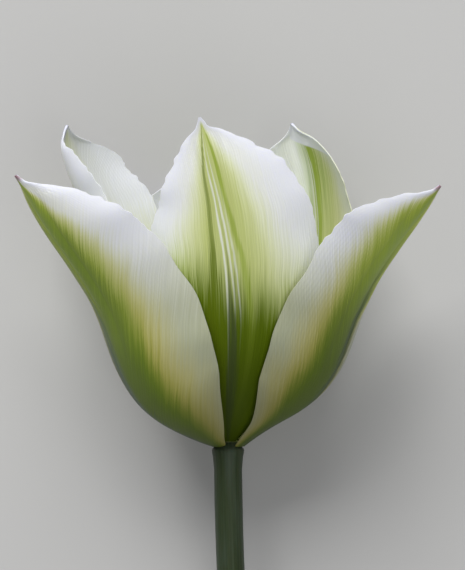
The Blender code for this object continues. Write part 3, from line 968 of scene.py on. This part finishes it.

# %% [markdown]
# ## The stripes of each kind of face
#
# The front inner tepal has three fine pale lines along its midrib, an olive band on their left and a lime
# one on their right. The green inside has pale lines too, with milky green bands beside them. Along the
# limb of the bloom the outer tepals have broad soft bands: bluish and leaf green on the left one, the
# bluish one the waxy bloom's own colour with a painted sheen in it, and deep green on the right one.

# %% Stripes on the outside of an inner tepal
OLIVE = (0.12, 0.175, 0.005)
LIME = (0.30, 0.40, 0.04)
GREY_GREEN = (0.065, 0.09, 0.03)
# the waxy bloom's blue-grey along the limb, with a painted sheen in it
WAX_BLUE_AND_SHEEN = (0.14, 0.19, 0.16)
DEEP_GREEN = (0.09, 0.14, 0.06)
LEAF_GREEN = (0.18, 0.27, 0.03)
PALE_LINE = (0.80, 0.83, 0.74)
SAGE = (0.40, 0.50, 0.24)
MILKY = (0.80, 0.86, 0.74)
INNER_STRIPES = (
    Stripe(
        OLIVE,
        centre=(0.42, 0.42, 0.422, 0.427, 0.425, 0.418, 0.42, 0.47),
        half=(0.1, 0.07, 0.045, 0.022, 0.015, 0.013, 0.013, 0.01),
        strength=(0.7, 0.8, 0.85, 0.85, 0.65, 0.6, 0.65, 0.3),
    ),
    Stripe(
        LIME,
        centre=(0.56, 0.63, 0.615, 0.588, 0.55, 0.534, 0.54, 0.56),
        half=(0.02, 0.02, 0.018, 0.015, 0.012, 0.011, 0.014, 0.01),
        strength=(0.0, 0.2, 0.5, 0.6, 0.7, 0.75, 0.8, 0.3),
    ),
    Stripe(
        PALE_LINE,
        centre=(0.5, 0.503, 0.503, 0.498, 0.481, 0.466, 0.45, 0.48),
        half=(0.002, 0.004, 0.005, 0.006, 0.006, 0.006, 0.006, 0.002),
        strength=(0.0, 0.15, 0.55, 0.85, 0.9, 0.8, 0.6, 0.2),
    ),
    Stripe(
        PALE_LINE,
        centre=(0.5, 0.54, 0.536, 0.524, 0.51, 0.496, 0.487, 0.49),
        half=(0.002, 0.004, 0.004, 0.005, 0.005, 0.005, 0.004, 0.002),
        strength=(0.0, 0.05, 0.4, 0.7, 0.8, 0.75, 0.5, 0.2),
    ),
    Stripe(
        PALE_LINE,
        centre=(0.5, 0.57, 0.562, 0.546, 0.528, 0.52, 0.51, 0.5),
        half=(0.002, 0.003, 0.004, 0.005, 0.005, 0.003, 0.002, 0.002),
        strength=(0.0, 0.05, 0.4, 0.6, 0.35, 0.1, 0.0, 0.0),
    ),
    Stripe(
        GREY_GREEN,
        centre=(0.5, 0.527, 0.518, 0.51, 0.5, 0.49, 0.48, 0.48),
        half=(0.05, 0.02, 0.01, 0.005, 0.003, 0.003, 0.003, 0.002),
        strength=(0.35, 0.75, 0.6, 0.4, 0.15, 0.0, 0.0, 0.0),
    ),
)
print("stripes outside:", len(INNER_STRIPES))

# %% Stripes on the green inside
GREEN_STRIPES = (
    Stripe(
        LIME,
        centre=(0.45, 0.44, 0.44, 0.435, 0.43, 0.42, 0.36, 0.24),
        half=(0.04, 0.035, 0.03, 0.022, 0.022, 0.028, 0.05, 0.08),
        strength=(0.8, 0.8, 0.8, 0.75, 0.7, 0.7, 0.75, 0.7),
    ),
    Stripe(
        PALE_LINE,
        centre=(0.5, 0.48, 0.475, 0.475, 0.47, 0.462, 0.43, 0.38),
        half=(0.002, 0.003, 0.005, 0.007, 0.008, 0.008, 0.008, 0.004),
        strength=(0.0, 0.1, 0.4, 0.7, 0.8, 0.8, 0.7, 0.4),
    ),
    Stripe(
        PALE_LINE,
        centre=(0.5, 0.455, 0.45, 0.448, 0.443, 0.435, 0.405, 0.35),
        half=(0.002, 0.003, 0.004, 0.005, 0.006, 0.006, 0.006, 0.003),
        strength=(0.0, 0.1, 0.3, 0.5, 0.6, 0.6, 0.5, 0.3),
    ),
    Stripe(
        MILKY,
        centre=(0.5, 0.5, 0.5, 0.51, 0.51, 0.5, 0.485, 0.45),
        half=(0.02, 0.02, 0.02, 0.02, 0.02, 0.03, 0.045, 0.06),
        strength=(0.0, 0.0, 0.0, 0.2, 0.5, 0.8, 0.9, 0.9),
    ),
    Stripe(
        SAGE,
        centre=(0.5, 0.505, 0.505, 0.505, 0.5, 0.49, 0.465, 0.42),
        half=(0.03, 0.03, 0.03, 0.025, 0.02, 0.014, 0.01, 0.008),
        strength=(0.7, 0.7, 0.7, 0.7, 0.65, 0.55, 0.45, 0.2),
    ),
)
print("stripes inside:", len(GREEN_STRIPES))

# %% Bands on the outer tepals
# A bluish band along the limb: the waxy bloom's own colour with a painted sheen in it
LIMB_WAX_AND_SHEEN_STRIPE = Stripe(
    WAX_BLUE_AND_SHEEN,
    centre=(0.42, 0.37, 0.36, 0.34, 0.33, 0.33, 0.35, 0.4),
    half=(0.12, 0.07, 0.055, 0.045, 0.04, 0.03, 0.02, 0.01),
    strength=(0.7, 0.85, 0.7, 0.5, 0.4, 0.4, 0.3, 0.1),
)
DEEP_STRIPE = Stripe(
    DEEP_GREEN,
    centre=(0.6, 0.57, 0.57, 0.58, 0.6, 0.6, 0.6, 0.6),
    half=(0.1, 0.05, 0.05, 0.045, 0.03, 0.03, 0.02, 0.01),
    strength=(0.7, 0.9, 0.9, 0.65, 0.3, 0.0, 0.0, 0.0),
)
LIMB_STRIPE = Stripe(
    LEAF_GREEN,
    centre=(0.5, 0.53, 0.54, 0.55, 0.55, 0.55, 0.53, 0.5),
    half=(0.05, 0.06, 0.07, 0.075, 0.075, 0.07, 0.05, 0.02),
    strength=(0.0, 0.0, 0.3, 0.6, 0.7, 0.6, 0.2, 0.0),
)
print("bands:", len((LIMB_WAX_AND_SHEEN_STRIPE, DEEP_STRIPE, LIMB_STRIPE)))

# %% [markdown]
# ## Which skin each face has
#
# Both halves of a tepal have their own flame. The visible halves of the outer two follow the flower in
# the picture, and the hidden ones are of the same kind. The inner outsides share one skin, which is greener
# on the right back tepal, and all the insides but one share another.

# %% The inner tepals' outside
INNER_FACE = {"spread": INNER_SPREAD, "start": INNER_START, "tip": LAVENDER_WHITE}
INNER_OUTSIDE = Skin(
    left=(1, 1, 1, 1, 0.78, 0.62, 0.48, 0.36, 0.27, 0.2, 0.2),
    right=(1, 1, 1, 1, 0.88, 0.66, 0.46, 0.33, 0.25, 0.2, 0.2),
    low=INNER_LOW,
    high=INNER_HIGH,
    blend=(0.44, 0.64),
    lean=0.10,
    # darker towards the root: its own colour and painted shade
    root_tone_and_painted_shade=(0.40, 0.50, 0.58, 0.68, 0.80, 0.90, 0.96, 1, 1, 1, 1),
    ragged=(0.1, 0.2, 0.25, 0.25, 0.28, 0.32, 0.38, 0.5, 0.6, 0.7, 0.7),
    stripes=INNER_STRIPES,
    gloss=0.04,
    **INNER_FACE,
)
print("stripes on it:", len(INNER_OUTSIDE.stripes))

# %% Outsides
OUTER_FACE = {"low": OUTER_LOW, "high": OUTER_HIGH}
OUTER_RAGGED = (0.1, 0.2, 0.3, 0.35, 0.35, 0.38, 0.45, 0.6, 0.8, 1.0, 0.8)
OUTSIDES = {
    "tepal_outer_left": Skin(
        left=AWAY_FLAME,
        right=(1, 0.66, 0.55, 0.50, 0.43, 0.40, 0.37, 0.35, 0.29, 0.18, 0.08),
        lean=-0.05,
        # darker towards the root: its own colour and painted shade
        root_tone_and_painted_shade=(0.35, 0.44, 0.57, 0.68, 0.74, 0.81, 0.90, 0.96, 1, 1, 1),
        ragged=OUTER_RAGGED,
        stripes=(LIMB_WAX_AND_SHEEN_STRIPE, LIMB_STRIPE),
        **OUTER_FACE,
    ),
    "tepal_outer_right": Skin(
        left=(1, 0.60, 0.55, 0.54, 0.46, 0.42, 0.39, 0.42, 0.42, 0.41, 0.3),
        right=(1, 0.7, 0.42, 0.20, 0.17, 0.19, 0.36, 0.45, 0.45, 0.35, 0.3),
        lean=0.14,
        # darker towards the root than the left one: its own colour and painted shade
        root_tone_and_painted_shade=(0.35, 0.42, 0.48, 0.55, 0.61, 0.68, 0.82, 0.95, 1, 1, 1),
        ragged=OUTER_RAGGED,
        stripes=(DEEP_STRIPE,),
        **OUTER_FACE,
    ),
    "tepal_outer_back": Skin(left=WIDE_FLAME, right=WIDE_FLAME, **OUTER_FACE),
    "tepal_inner_front": INNER_OUTSIDE,
    "tepal_inner_back_left": INNER_OUTSIDE,
    "tepal_inner_back_right": replace(
        INNER_OUTSIDE, left=(1, 1, 1, 1, 1, 1, 1, 1, 1, 0.9, 0.8), high=BACK_HIGH, margin=0.35
    ),
}
print("outsides:", len(OUTSIDES))

# %% Insides
PALE_INSIDE = Skin(
    left=WIDE_FLAME,
    right=WIDE_FLAME,
    low=INSIDE_LOW,
    high=INSIDE_HIGH,
    blend=(0.56, 0.78),
    # darker towards the root: its own colour and painted shade
    root_tone_and_painted_shade=(0.7, 0.78, 0.85, 0.9, 0.94, 0.97, 1, 1, 1, 1, 1),
    margin=0.5,
    **INNER_FACE,
)
GREEN_INSIDE = Skin(
    left=(1, 1, 1, 1, 1, 1, 1, 1, 1, 1, 1),
    right=(1, 0.8, 0.5, 0.3, 0.16, 0.10, 0.06, 0.04, 0.025, 0.02, 0.02),
    low=BACK_LOW,
    high=BACK_HIGH,
    blend=(0.68, 0.9),
    # darker towards the root: its own colour and painted shade
    root_tone_and_painted_shade=(0.6, 0.65, 0.7, 0.75, 0.8, 0.85, 0.9, 0.95, 1, 1, 1),
    stripes=GREEN_STRIPES,
    margin=0.6,
    # from here up the tip is lavender-white: a painted highlight on its fold
    tip_from=(0.940, 0.947),
    tip_lean=0.05,
    **INNER_FACE,
)
INSIDES = {"tepal_inner_back_right": GREEN_INSIDE}
print("insides of their own:", list(INSIDES))

# %% [markdown] ## Painting the six tepals  Solidify has already told the faces apart, so the outside and
# the inside only get their materials. The seed differs from face to face, so no two have the same
# streaks.

# %% Painting the six tepals
SEED_STEP = 3.7
for seed, (name, petal) in enumerate(petals.items()):
    outside = petal_skin(name + "_outside", OUTSIDES[name], seed * SEED_STEP)
    inside = petal_skin(name + "_inside", INSIDES.get(name, PALE_INSIDE), (seed + 0.5) * SEED_STEP)
    petal.data.materials[0] = outside
    petal.data.materials[1] = inside
    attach(petal, "root")
    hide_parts(name)
    print(petal.name, "painted:", outside.name, inside.name)

# %% [markdown]
# ## Tubes through rings
#
# The stem, the stamens, the ovary and the stigma are all tubes whose rings change from end to end. Spin
# makes only rings that are round and straight, and these bend, twist or have lobes. So a flat grid is
# rolled up: one way runs round the tube and the other along it, the seam is merged, both ends are closed,
# and the faces are turned outwards.

# %% Tubes through rings
TUBE_CREASE = math.radians(50)


def roll_up(name, rings):
    """A closed tube through rings of points, an array of rings by sides by 3."""
    tidy_selection()
    count, sides = rings.shape[:2]
    bpy.ops.mesh.primitive_grid_add(x_subdivisions=sides, y_subdivisions=count - 1, size=2)
    made = bpy.context.object
    made.name = name
    mesh = made.data
    points = np.concatenate([rings, rings[:, :1]], axis=1)
    mesh.vertices.foreach_set("co", points.astype(np.float32).ravel())
    mesh.update()
    bpy.ops.object.mode_set(mode="EDIT")
    bpy.ops.mesh.select_all(action="SELECT")
    bpy.ops.mesh.remove_doubles(threshold=mm(0.001))
    bpy.ops.mesh.select_all(action="DESELECT")
    bpy.ops.mesh.select_non_manifold()
    bpy.ops.mesh.fill_holes(sides=0)
    bpy.ops.mesh.select_all(action="SELECT")
    bpy.ops.mesh.normals_make_consistent(inside=False)
    bpy.ops.object.mode_set(mode="OBJECT")
    bpy.ops.object.shade_smooth_by_angle(angle=TUBE_CREASE)
    return made


def ring_round(centre, side, up, radius, sides, lobes=0, depth=0.0):
    """Points round a centre. Lobes swell the ring that many times round, by a share of its radius."""
    angle = np.linspace(0, 2 * math.pi, sides, endpoint=False)
    reach = radius * (1 + depth * np.cos(lobes * angle))
    offset = np.cos(angle)[:, None] * np.array(side) + np.sin(angle)[:, None] * np.array(up)
    return np.array(centre) + reach[:, None] * offset


print("tubes are made by", roll_up.__name__)

# %% [markdown]
# ## The stem
#
# The stem is one smooth, round stalk. At its top it swells into the receptacle, which the tepals are
# joined to, then it droops a little way and lies along the table to a clean cut. Its rings follow one
# smooth curve with four control points, and their radius varies a little, as a grown stalk's does.

# %% Sizes of the stem
STEM_RADIUS = mm(3.2)
STEM_LENGTH = mm(112.0)
STEM_SWAY = mm(5.0)
STEM_SIDES = 64
STEM_RINGS = 110
NEAR_SHARE = 0.42  # how far the curve's two middle points stand from its ends
FAR_SHARE = 0.34
CURVE_FROM = 0.04  # below the receptacle
SWELLS = ((0.012, 9), (0.006, 23))  # shares by which the radius varies, and how fast
# Heights above the join and radii
RECEPTACLE_HEIGHTS = (2.0, 1.8, 1.4, 0.9, 0.4, 0.0, -0.4, -0.8, -1.2, -1.8, -2.6)
RECEPTACLE_RADII = (1.1, 1.5, 1.85, 2.1, 2.55, 2.9, 3.25, 3.6, 3.72, 3.66, 3.5)
print("stem rings:", len(RECEPTACLE_HEIGHTS) + STEM_RINGS)

# %% The way the stem runs
stem_end = Vector((STEM_SWAY, BASE_PLACE.y - STEM_LENGTH, STEM_RADIUS))
stem_near = BASE_PLACE - axis * STEM_LENGTH * NEAR_SHARE
stem_far = stem_end + Vector((0, STEM_LENGTH * FAR_SHARE, 0))


def stem_ring(t):
    """The stem's ring at a share t of its curve."""
    s = 1 - t
    place = s**3 * BASE_PLACE + 3 * s * s * t * stem_near + 3 * s * t * t * stem_far + t**3 * stem_end
    back = s * s * (BASE_PLACE - stem_near) + 2 * s * t * (stem_near - stem_far)
    back = (back + t * t * (stem_far - stem_end)).normalized()
    side = back.cross(Vector((0, 0, 1))).normalized()
    swell = 1 + sum(height * math.sin(pace * t) for height, pace in SWELLS)
    return ring_round(place, side, side.cross(back), STEM_RADIUS * swell, STEM_SIDES)


print("the stem ends at", tuple(round(x, 4) for x in stem_end))

# %% The stem
across = Vector((1, 0, 0))
above = across.cross(axis)
rings = []
for height, radius in zip(RECEPTACLE_HEIGHTS, RECEPTACLE_RADII):
    rings.append(ring_round(BASE_PLACE + axis * mm(height), across, above, mm(radius), STEM_SIDES))
for t in np.linspace(CURVE_FROM, 1, STEM_RINGS).tolist():
    rings.append(stem_ring(t))
stalk = roll_up("stalk", np.array(rings))
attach(stalk, "root")
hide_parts("stem")
print("stalk faces:", len(stalk.data.polygons))

# %% [markdown]
# ## The stem's skin
#
# A tulip's stem is green under a thin, bluish, waxy bloom, with faint lines along it. The colour comes from
# noise that is stretched along the stem. The stem's UV map rolls round it, and noise would show a seam
# there, so the place round the stem is turned into a point on a circle first. The wax is a weak Sheen, and
# inside the bloom the receptacle is pale green.

# %% The stem's skin
# The stem's own dark greens, darkened further with painted shade
STEM_GREENS = ((0.3, (0.019, 0.031, 0.009)), (0.55, (0.028, 0.044, 0.015)), (0.8, (0.042, 0.060, 0.030)))
WAX_BLUE = (0.055, 0.075, 0.055)
WAX_COVER = 0.45
WAX_EDGE = (0.4, 0.75)
LINE_PACES = (5.0, 3.0)  # how fast the lines change round the stem and along it
CLOUD_PACES = (1.2, 9.0)  # and the patches of wax
RECEPTACLE_GREEN = (0.42, 0.50, 0.22)
RECEPTACLE_FADE = (0.030, 0.020)  # shares of the stem's rings, from full stem green to pale green


def stem_skin():
    """Dark green, partly painted shade, under a thin waxy bloom, with faint lines along the stem."""
    paint = Paint(
        "stem_skin",
        Roughness=0.45,
        Specular_IOR_Level=0.2,
        Subsurface_Weight=0.1,
        Subsurface_Scale=mm(1.0),
        Sheen_Weight=0.04,
        Sheen_Roughness=0.5,
        Sheen_Tint=(0.75, 0.82, 1.0, 1),
    )
    place, along = paint.uv()
    turn = paint.scaled(place, 2 * math.pi)
    circle = (paint.math("COSINE", turn), paint.math("SINE", turn))

    def stem_noise(paces, scale):
        over, up = paces
        spot = [paint.scaled(value, over) for value in circle] + [paint.scaled(along, up)]
        return paint.noise(*spot, detail=3.0, scale=scale)

    lines = stem_noise(LINE_PACES, 1.6)
    cloud = stem_noise(CLOUD_PACES, 1.0)
    color = paint.ramp(lines, STEM_GREENS)
    color = paint.mix(paint.scaled(paint.smooth(cloud, *WAX_EDGE), WAX_COVER), color, WAX_BLUE)
    color = paint.mix(paint.smooth(along, *RECEPTACLE_FADE), color, RECEPTACLE_GREEN)
    return paint.finish(color, lines, depth=mm(0.12), strength=0.35)


stalk.data.materials.append(stem_skin())
print("stem's skin:", stalk.data.materials[0].name)

# %% [markdown]
# ## The cut end
#
# A freshly cut stem is pale and moist inside, with rings of small darker dots, the vessels that carry its
# water. Small cells of a Voronoi pattern give the dots. Only the end's own face gets this finish.

# %% The cut end
PITH = ((0.35, (0.30, 0.38, 0.16)), (0.65, (0.44, 0.50, 0.26)))
VESSEL_GREEN = (0.17, 0.24, 0.08)
VESSEL_SCALE = 1500.0
VESSEL_EDGE = (0.28, 0.14)
CUT_MARGIN = mm(0.02)


def cut_skin():
    """The cut end: pale and moist, with rings of small darker dots, the stem's vessels."""
    paint = Paint(
        "stem_cut",
        Roughness=0.35,
        Specular_IOR_Level=0.4,
        Subsurface_Weight=0.3,
        Subsurface_Scale=mm(1.0),
    )
    place = paint.node("ShaderNodeTexCoord").outputs["Object"]
    links = {"Vector": place, "Scale": VESSEL_SCALE, "Randomness": 0.8}
    dots = paint.node("ShaderNodeTexVoronoi", links).outputs[0]
    cloud = paint.grain(500.0, 3.0)
    color = paint.mix(paint.smooth(dots, *VESSEL_EDGE), paint.ramp(cloud, PITH), VESSEL_GREEN)
    return paint.finish(color, cloud, depth=mm(0.1), strength=0.5)


stalk.data.materials.append(cut_skin())
end_faces = 0
for face in stalk.data.polygons:
    if face.center.y < stem_end.y + CUT_MARGIN and len(face.vertices) > 4:
        face.material_index = 1
        end_faces += 1
print("cut faces:", end_faces)

# %% [markdown]
# ## Soft, grainy finishes
#
# The pieces inside the bloom are small, soft and a little mottled: pale threads, anthers covered in pollen,
# a green ovary and a cream stigma. One function gives all four, with noise in the object's own space at
# the scale of each piece's grain.

# %% Grainy finishes
GRAIN_EDGES = (0.3, 0.7)  # the noise at which a finish is fully dark, and fully light


def grainy_skin(name, dark, light, scale, roughness, depth):
    """A soft mottled finish from a noise in the object's own space."""
    paint = Paint(
        name,
        Roughness=roughness,
        Specular_IOR_Level=0.25,
        Subsurface_Weight=0.2,
        Subsurface_Scale=mm(0.5),
    )
    grain = paint.grain(scale, 4.0)
    color = paint.ramp(grain, tuple(zip(GRAIN_EDGES, (dark, light))))
    return paint.finish(color, grain, depth=depth, strength=0.6)


def finished(piece, skin, node, slot):
    """Gives a piece its finish, joins it to the flower's root, and hides the packed part it replaces."""
    piece.data.materials.append(skin)
    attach(piece, "root")
    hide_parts(node)


print("small pieces are finished by", finished.__name__)

# %% [markdown]
# ## Six stamens
#
# Six stamens stand round the ovary. Each has a pale filament that tapers, and on its tip a long anther with
# a groove down each side, which is full of pollen. Two lobes in its rings make the grooves. The first could
# be copied five times, but each anther twists a little differently, so all six are made in one loop.

# %% Sizes of the stamens
STAMEN_AZIMUTHS = (30, 90, 150, 210, 270, 330)
STAMEN_LEAN = math.radians(20.0)
STAMEN_RING = mm(1.75)
STAMEN_FOOT = mm(2.3)
FILAMENT_LENGTH = mm(8.5)
FILAMENT_AT = (0, 0.35, 1)
FILAMENT_RADII = mm(0.55, 0.7, 0.3)
FILAMENT_RINGS = 24
FILAMENT_SIDES = 24
ANTHER_LENGTH = mm(10.0)
ANTHER_RADIUS = mm(1.25)
ANTHER_TWIST = 0.12
ANTHER_RINGS = 36
ANTHER_SIDES = 40
BLUNT_END = 0.05  # how round an anther's ends are left
ANTHER_GROOVE = 0.2  # its depth, as a share of the radius
JOINT = mm(0.3)
print("stamen length:", round(FILAMENT_LENGTH + JOINT + ANTHER_LENGTH, 4))

# %% A filament and its anther


def laid(rings):
    """Rings of the upright bloom, in the world."""
    return np.array(rings) @ np.array(bloom.to_3x3()).T + np.array(bloom.translation)


def filament_rings(foot, lean, side, front):
    """A slender thread that tapers up the way it leans."""
    rings = []
    for share in np.linspace(0, 1, FILAMENT_RINGS).tolist():
        radius = float(ease(FILAMENT_AT, FILAMENT_RADII, share))
        centre = foot + lean * FILAMENT_LENGTH * share
        rings.append(ring_round(centre, side, front, radius, FILAMENT_SIDES))
    return laid(rings)


def anther_rings(start, lean, side, front, number):
    """A long sac of two halves, with blunt ends and a slight twist of its own."""
    rings = []
    for share in (1 - np.cos(np.linspace(0, math.pi, ANTHER_RINGS))) / 2:
        radius = ANTHER_RADIUS * math.sqrt(max(BLUNT_END, 1 - (2 * share - 1) ** 4))
        twist = ANTHER_TWIST * math.sin(3 * share + number)
        turned_side = math.cos(twist) * side + math.sin(twist) * front
        turned_front = math.cos(twist) * front - math.sin(twist) * side
        centre = start + lean * ANTHER_LENGTH * share
        across_it = (turned_side, turned_front)
        rings.append(ring_round(centre, *across_it, radius, ANTHER_SIDES, 2, ANTHER_GROOVE))
    return laid(rings)


print("a stamen is made by", filament_rings.__name__, "and", anther_rings.__name__)

# %% Six stamens
filament_skin = grainy_skin("filament_skin", (0.55, 0.58, 0.30), (0.74, 0.74, 0.52), 900, 0.45, mm(0.05))
anther_skin = grainy_skin("anther_skin", (0.42, 0.36, 0.12), (0.66, 0.58, 0.26), 3500, 0.85, mm(0.12))
up = np.array((0, 0, 1.0))
for number, azimuth in enumerate(STAMEN_AZIMUTHS, start=1):
    out = np.array((math.cos(math.radians(azimuth)), math.sin(math.radians(azimuth)), 0))
    lean = out * math.sin(STAMEN_LEAN) + up * math.cos(STAMEN_LEAN)
    side = np.cross(up, out)
    front = np.cross(side, lean)
    foot = out * STAMEN_RING + up * STAMEN_FOOT
    thread = roll_up(f"stamen_thread_{number}", filament_rings(foot, lean, side, front))
    finished(thread, filament_skin, f"filament_{number}", "filament")
    start = foot + lean * (FILAMENT_LENGTH + JOINT)
    pollen = roll_up(f"pollen_sac_{number}", anther_rings(start, lean, side, front, number))
    finished(pollen, anther_skin, f"anther_{number}", "anther")
print("stamens:", len(STAMEN_AZIMUTHS))

# %% [markdown]
# ## Ovary
#
# The ovary is the green seed case in the middle. Seen from its end it has three rounded corners, one for
# each chamber, so its rings have three low lobes.

# %% Ovary
OVARY_FOOT = mm(2.5)
OVARY_LENGTH = mm(15.5)
OVARY_RADIUS = mm(2.7)
OVARY_AT = (0, 0.1, 0.3, 0.6, 0.85, 0.96, 1)
OVARY_SHARES = (0.3, 0.42, 0.82, 1, 0.88, 0.72, 0.55)
OVARY_LOBES = 0.1
OVARY_RINGS = 48
OVARY_SIDES = 72
ovary_skin = grainy_skin("ovary_skin", (0.28, 0.38, 0.13), (0.42, 0.52, 0.24), 400, 0.4, mm(0.06))

out = np.array((1.0, 0, 0))
side = np.array((0, 1.0, 0))
rings = []
for share in np.linspace(0, 1, OVARY_RINGS):
    radius = OVARY_RADIUS * float(ease(OVARY_AT, OVARY_SHARES, share))
    centre = up * (OVARY_FOOT + OVARY_LENGTH * share)
    rings.append(ring_round(centre, out, side, radius, OVARY_SIDES, 3, OVARY_LOBES))
seed_case = roll_up("seed_case", laid(rings))
finished(seed_case, ovary_skin, "ovary", "ovary")
print("seed case faces:", len(seed_case.data.polygons))

# %% [markdown]
# ## Stigma
#
# The stigma crowns the ovary and catches the pollen. It folds into three lobes with a frilly edge. The
# lobes grow deeper up the rings, and a faster wave of small height makes the frill.

# %% Stigma
STIGMA_AT = (0, 0.45, 0.85, 1)
STIGMA_SHARES = (0.5, 0.72, 0.8, 0.5)
STIGMA_LOBES = (0.1, 0.3, 0.36, 0.4)
STIGMA_RADIUS = mm(3.6)
STIGMA_HEIGHT = mm(2.6)
STIGMA_RINGS = 30
STIGMA_SIDES = 120
FRILL_HEIGHT = 0.05
FRILL_COUNT = 24
stigma_skin = grainy_skin("stigma_skin", (0.62, 0.60, 0.34), (0.78, 0.76, 0.54), 2500, 0.6, mm(0.12))

rings = []
for share in np.linspace(0, 1, STIGMA_RINGS):
    radius = STIGMA_RADIUS * float(ease(STIGMA_AT, STIGMA_SHARES, share))
    depth = float(ease(STIGMA_AT, STIGMA_LOBES, share))
    centre = up * (OVARY_FOOT + OVARY_LENGTH + JOINT + STIGMA_HEIGHT * share)
    ring = ring_round(centre, out, side, radius, STIGMA_SIDES, 3, depth)
    angle = np.linspace(0, 2 * math.pi, STIGMA_SIDES, endpoint=False)
    frill = 1 + FRILL_HEIGHT * share * np.cos(FRILL_COUNT * angle)
    rings.append(centre + (ring - centre) * frill[:, None])
crest = roll_up("crest", laid(rings))
finished(crest, stigma_skin, "stigma", "stigma")
print("crest faces:", len(crest.data.polygons))

# %% [markdown]
# ## The floor
#
# The flower lies on a plain pale floor, which isn't part of it. A wide plane a hair below it is enough.

# %% Floor
FLOOR_SIZE = 4
FLOOR_HEIGHT = mm(-0.2)
FLOOR_GREY = (0.50, 0.50, 0.50, 1)
tidy_selection()
bpy.ops.mesh.primitive_plane_add(size=FLOOR_SIZE, location=(0, 0, FLOOR_HEIGHT))
floor = bpy.context.object
floor.name = "floor"
pale = Paint("pale_floor", Roughness=0.8, Specular_IOR_Level=0.2)
floor.data.materials.append(pale.finish(FLOOR_GREY))
print("floor at", round(floor.location.z, 5))

# %% [markdown]
# ## The camera
#
# The picture looks at the bloom straight from the side. With the flower laid down the camera looks down on
# it, square to its axis and with the mouth at the top. One pixel is a known length at the bloom's axis, so
# the lens follows from the distance.

# %% Camera
IMAGE_SIZE = (465, 570)
PIXEL = mm(0.23)  # at the bloom's axis
CAMERA_DISTANCE = 0.6
AXIS_COLUMN = 228  # where the bloom's axis and base stand in the picture, in pixels
BASE_ROW = 445
SENSOR = (36, 24)

aim = BASE_PLACE + axis * (BASE_ROW - IMAGE_SIZE[1] / 2) * PIXEL
aim = aim + Vector((1, 0, 0)) * (IMAGE_SIZE[0] / 2 - AXIS_COLUMN) * PIXEL
lens = bpy.data.cameras.new("camera")
camera = bpy.data.objects.new("camera", lens)
bpy.context.collection.objects.link(camera)
bpy.context.scene.camera = camera
turn = Matrix((Vector((1, 0, 0)), axis, toward_camera)).transposed()
camera.matrix_world = Matrix.Translation(aim + toward_camera * CAMERA_DISTANCE) @ turn.to_4x4()
lens.sensor_fit = "VERTICAL"
lens.sensor_width, lens.sensor_height = SENSOR
lens.lens = lens.sensor_height * CAMERA_DISTANCE / (IMAGE_SIZE[1] * PIXEL)
print("camera at", tuple(round(x, 3) for x in camera.location), "lens:", round(lens.lens, 1))

# %% [markdown]
# ## The lights
#
# A large soft light stands beyond the mouth, to the left, and brightens the upper margins. A weak one fills
# in from the stem's side, and a pale sky lifts the shadows.

# %% Lights


def soft_light(name, place, target, size, power, color):
    """A square area light at a place, turned towards a target."""
    lamp = bpy.data.lights.new(name, "AREA")
    lamp.size = size
    lamp.energy = power
    lamp.color = color
    made = bpy.data.objects.new(name, lamp)
    bpy.context.collection.objects.link(made)
    made.location = place
    made.rotation_euler = (Vector(target) - Vector(place)).to_track_quat("-Z", "Y").to_euler()


LAMP_WHITE = (1.0, 0.99, 0.97)
soft_light("key", (-0.3, 1.05, 1.15), (0, 0.05, 0.03), 1.0, 22, LAMP_WHITE)
soft_light("fill", (0.3, -0.6, 1.2), (0, 0.03, 0.03), 0.8, 3.5, LAMP_WHITE)
world = bpy.data.worlds.new("studio")
world.use_nodes = True
sky = world.node_tree.nodes["Background"]
sky.inputs["Color"].default_value = (0.97, 0.98, 1.0, 1)
sky.inputs["Strength"].default_value = 0.32
bpy.context.scene.world = world
bpy.context.scene.view_settings.view_transform = "Standard"

# %% [markdown]
# ## The end
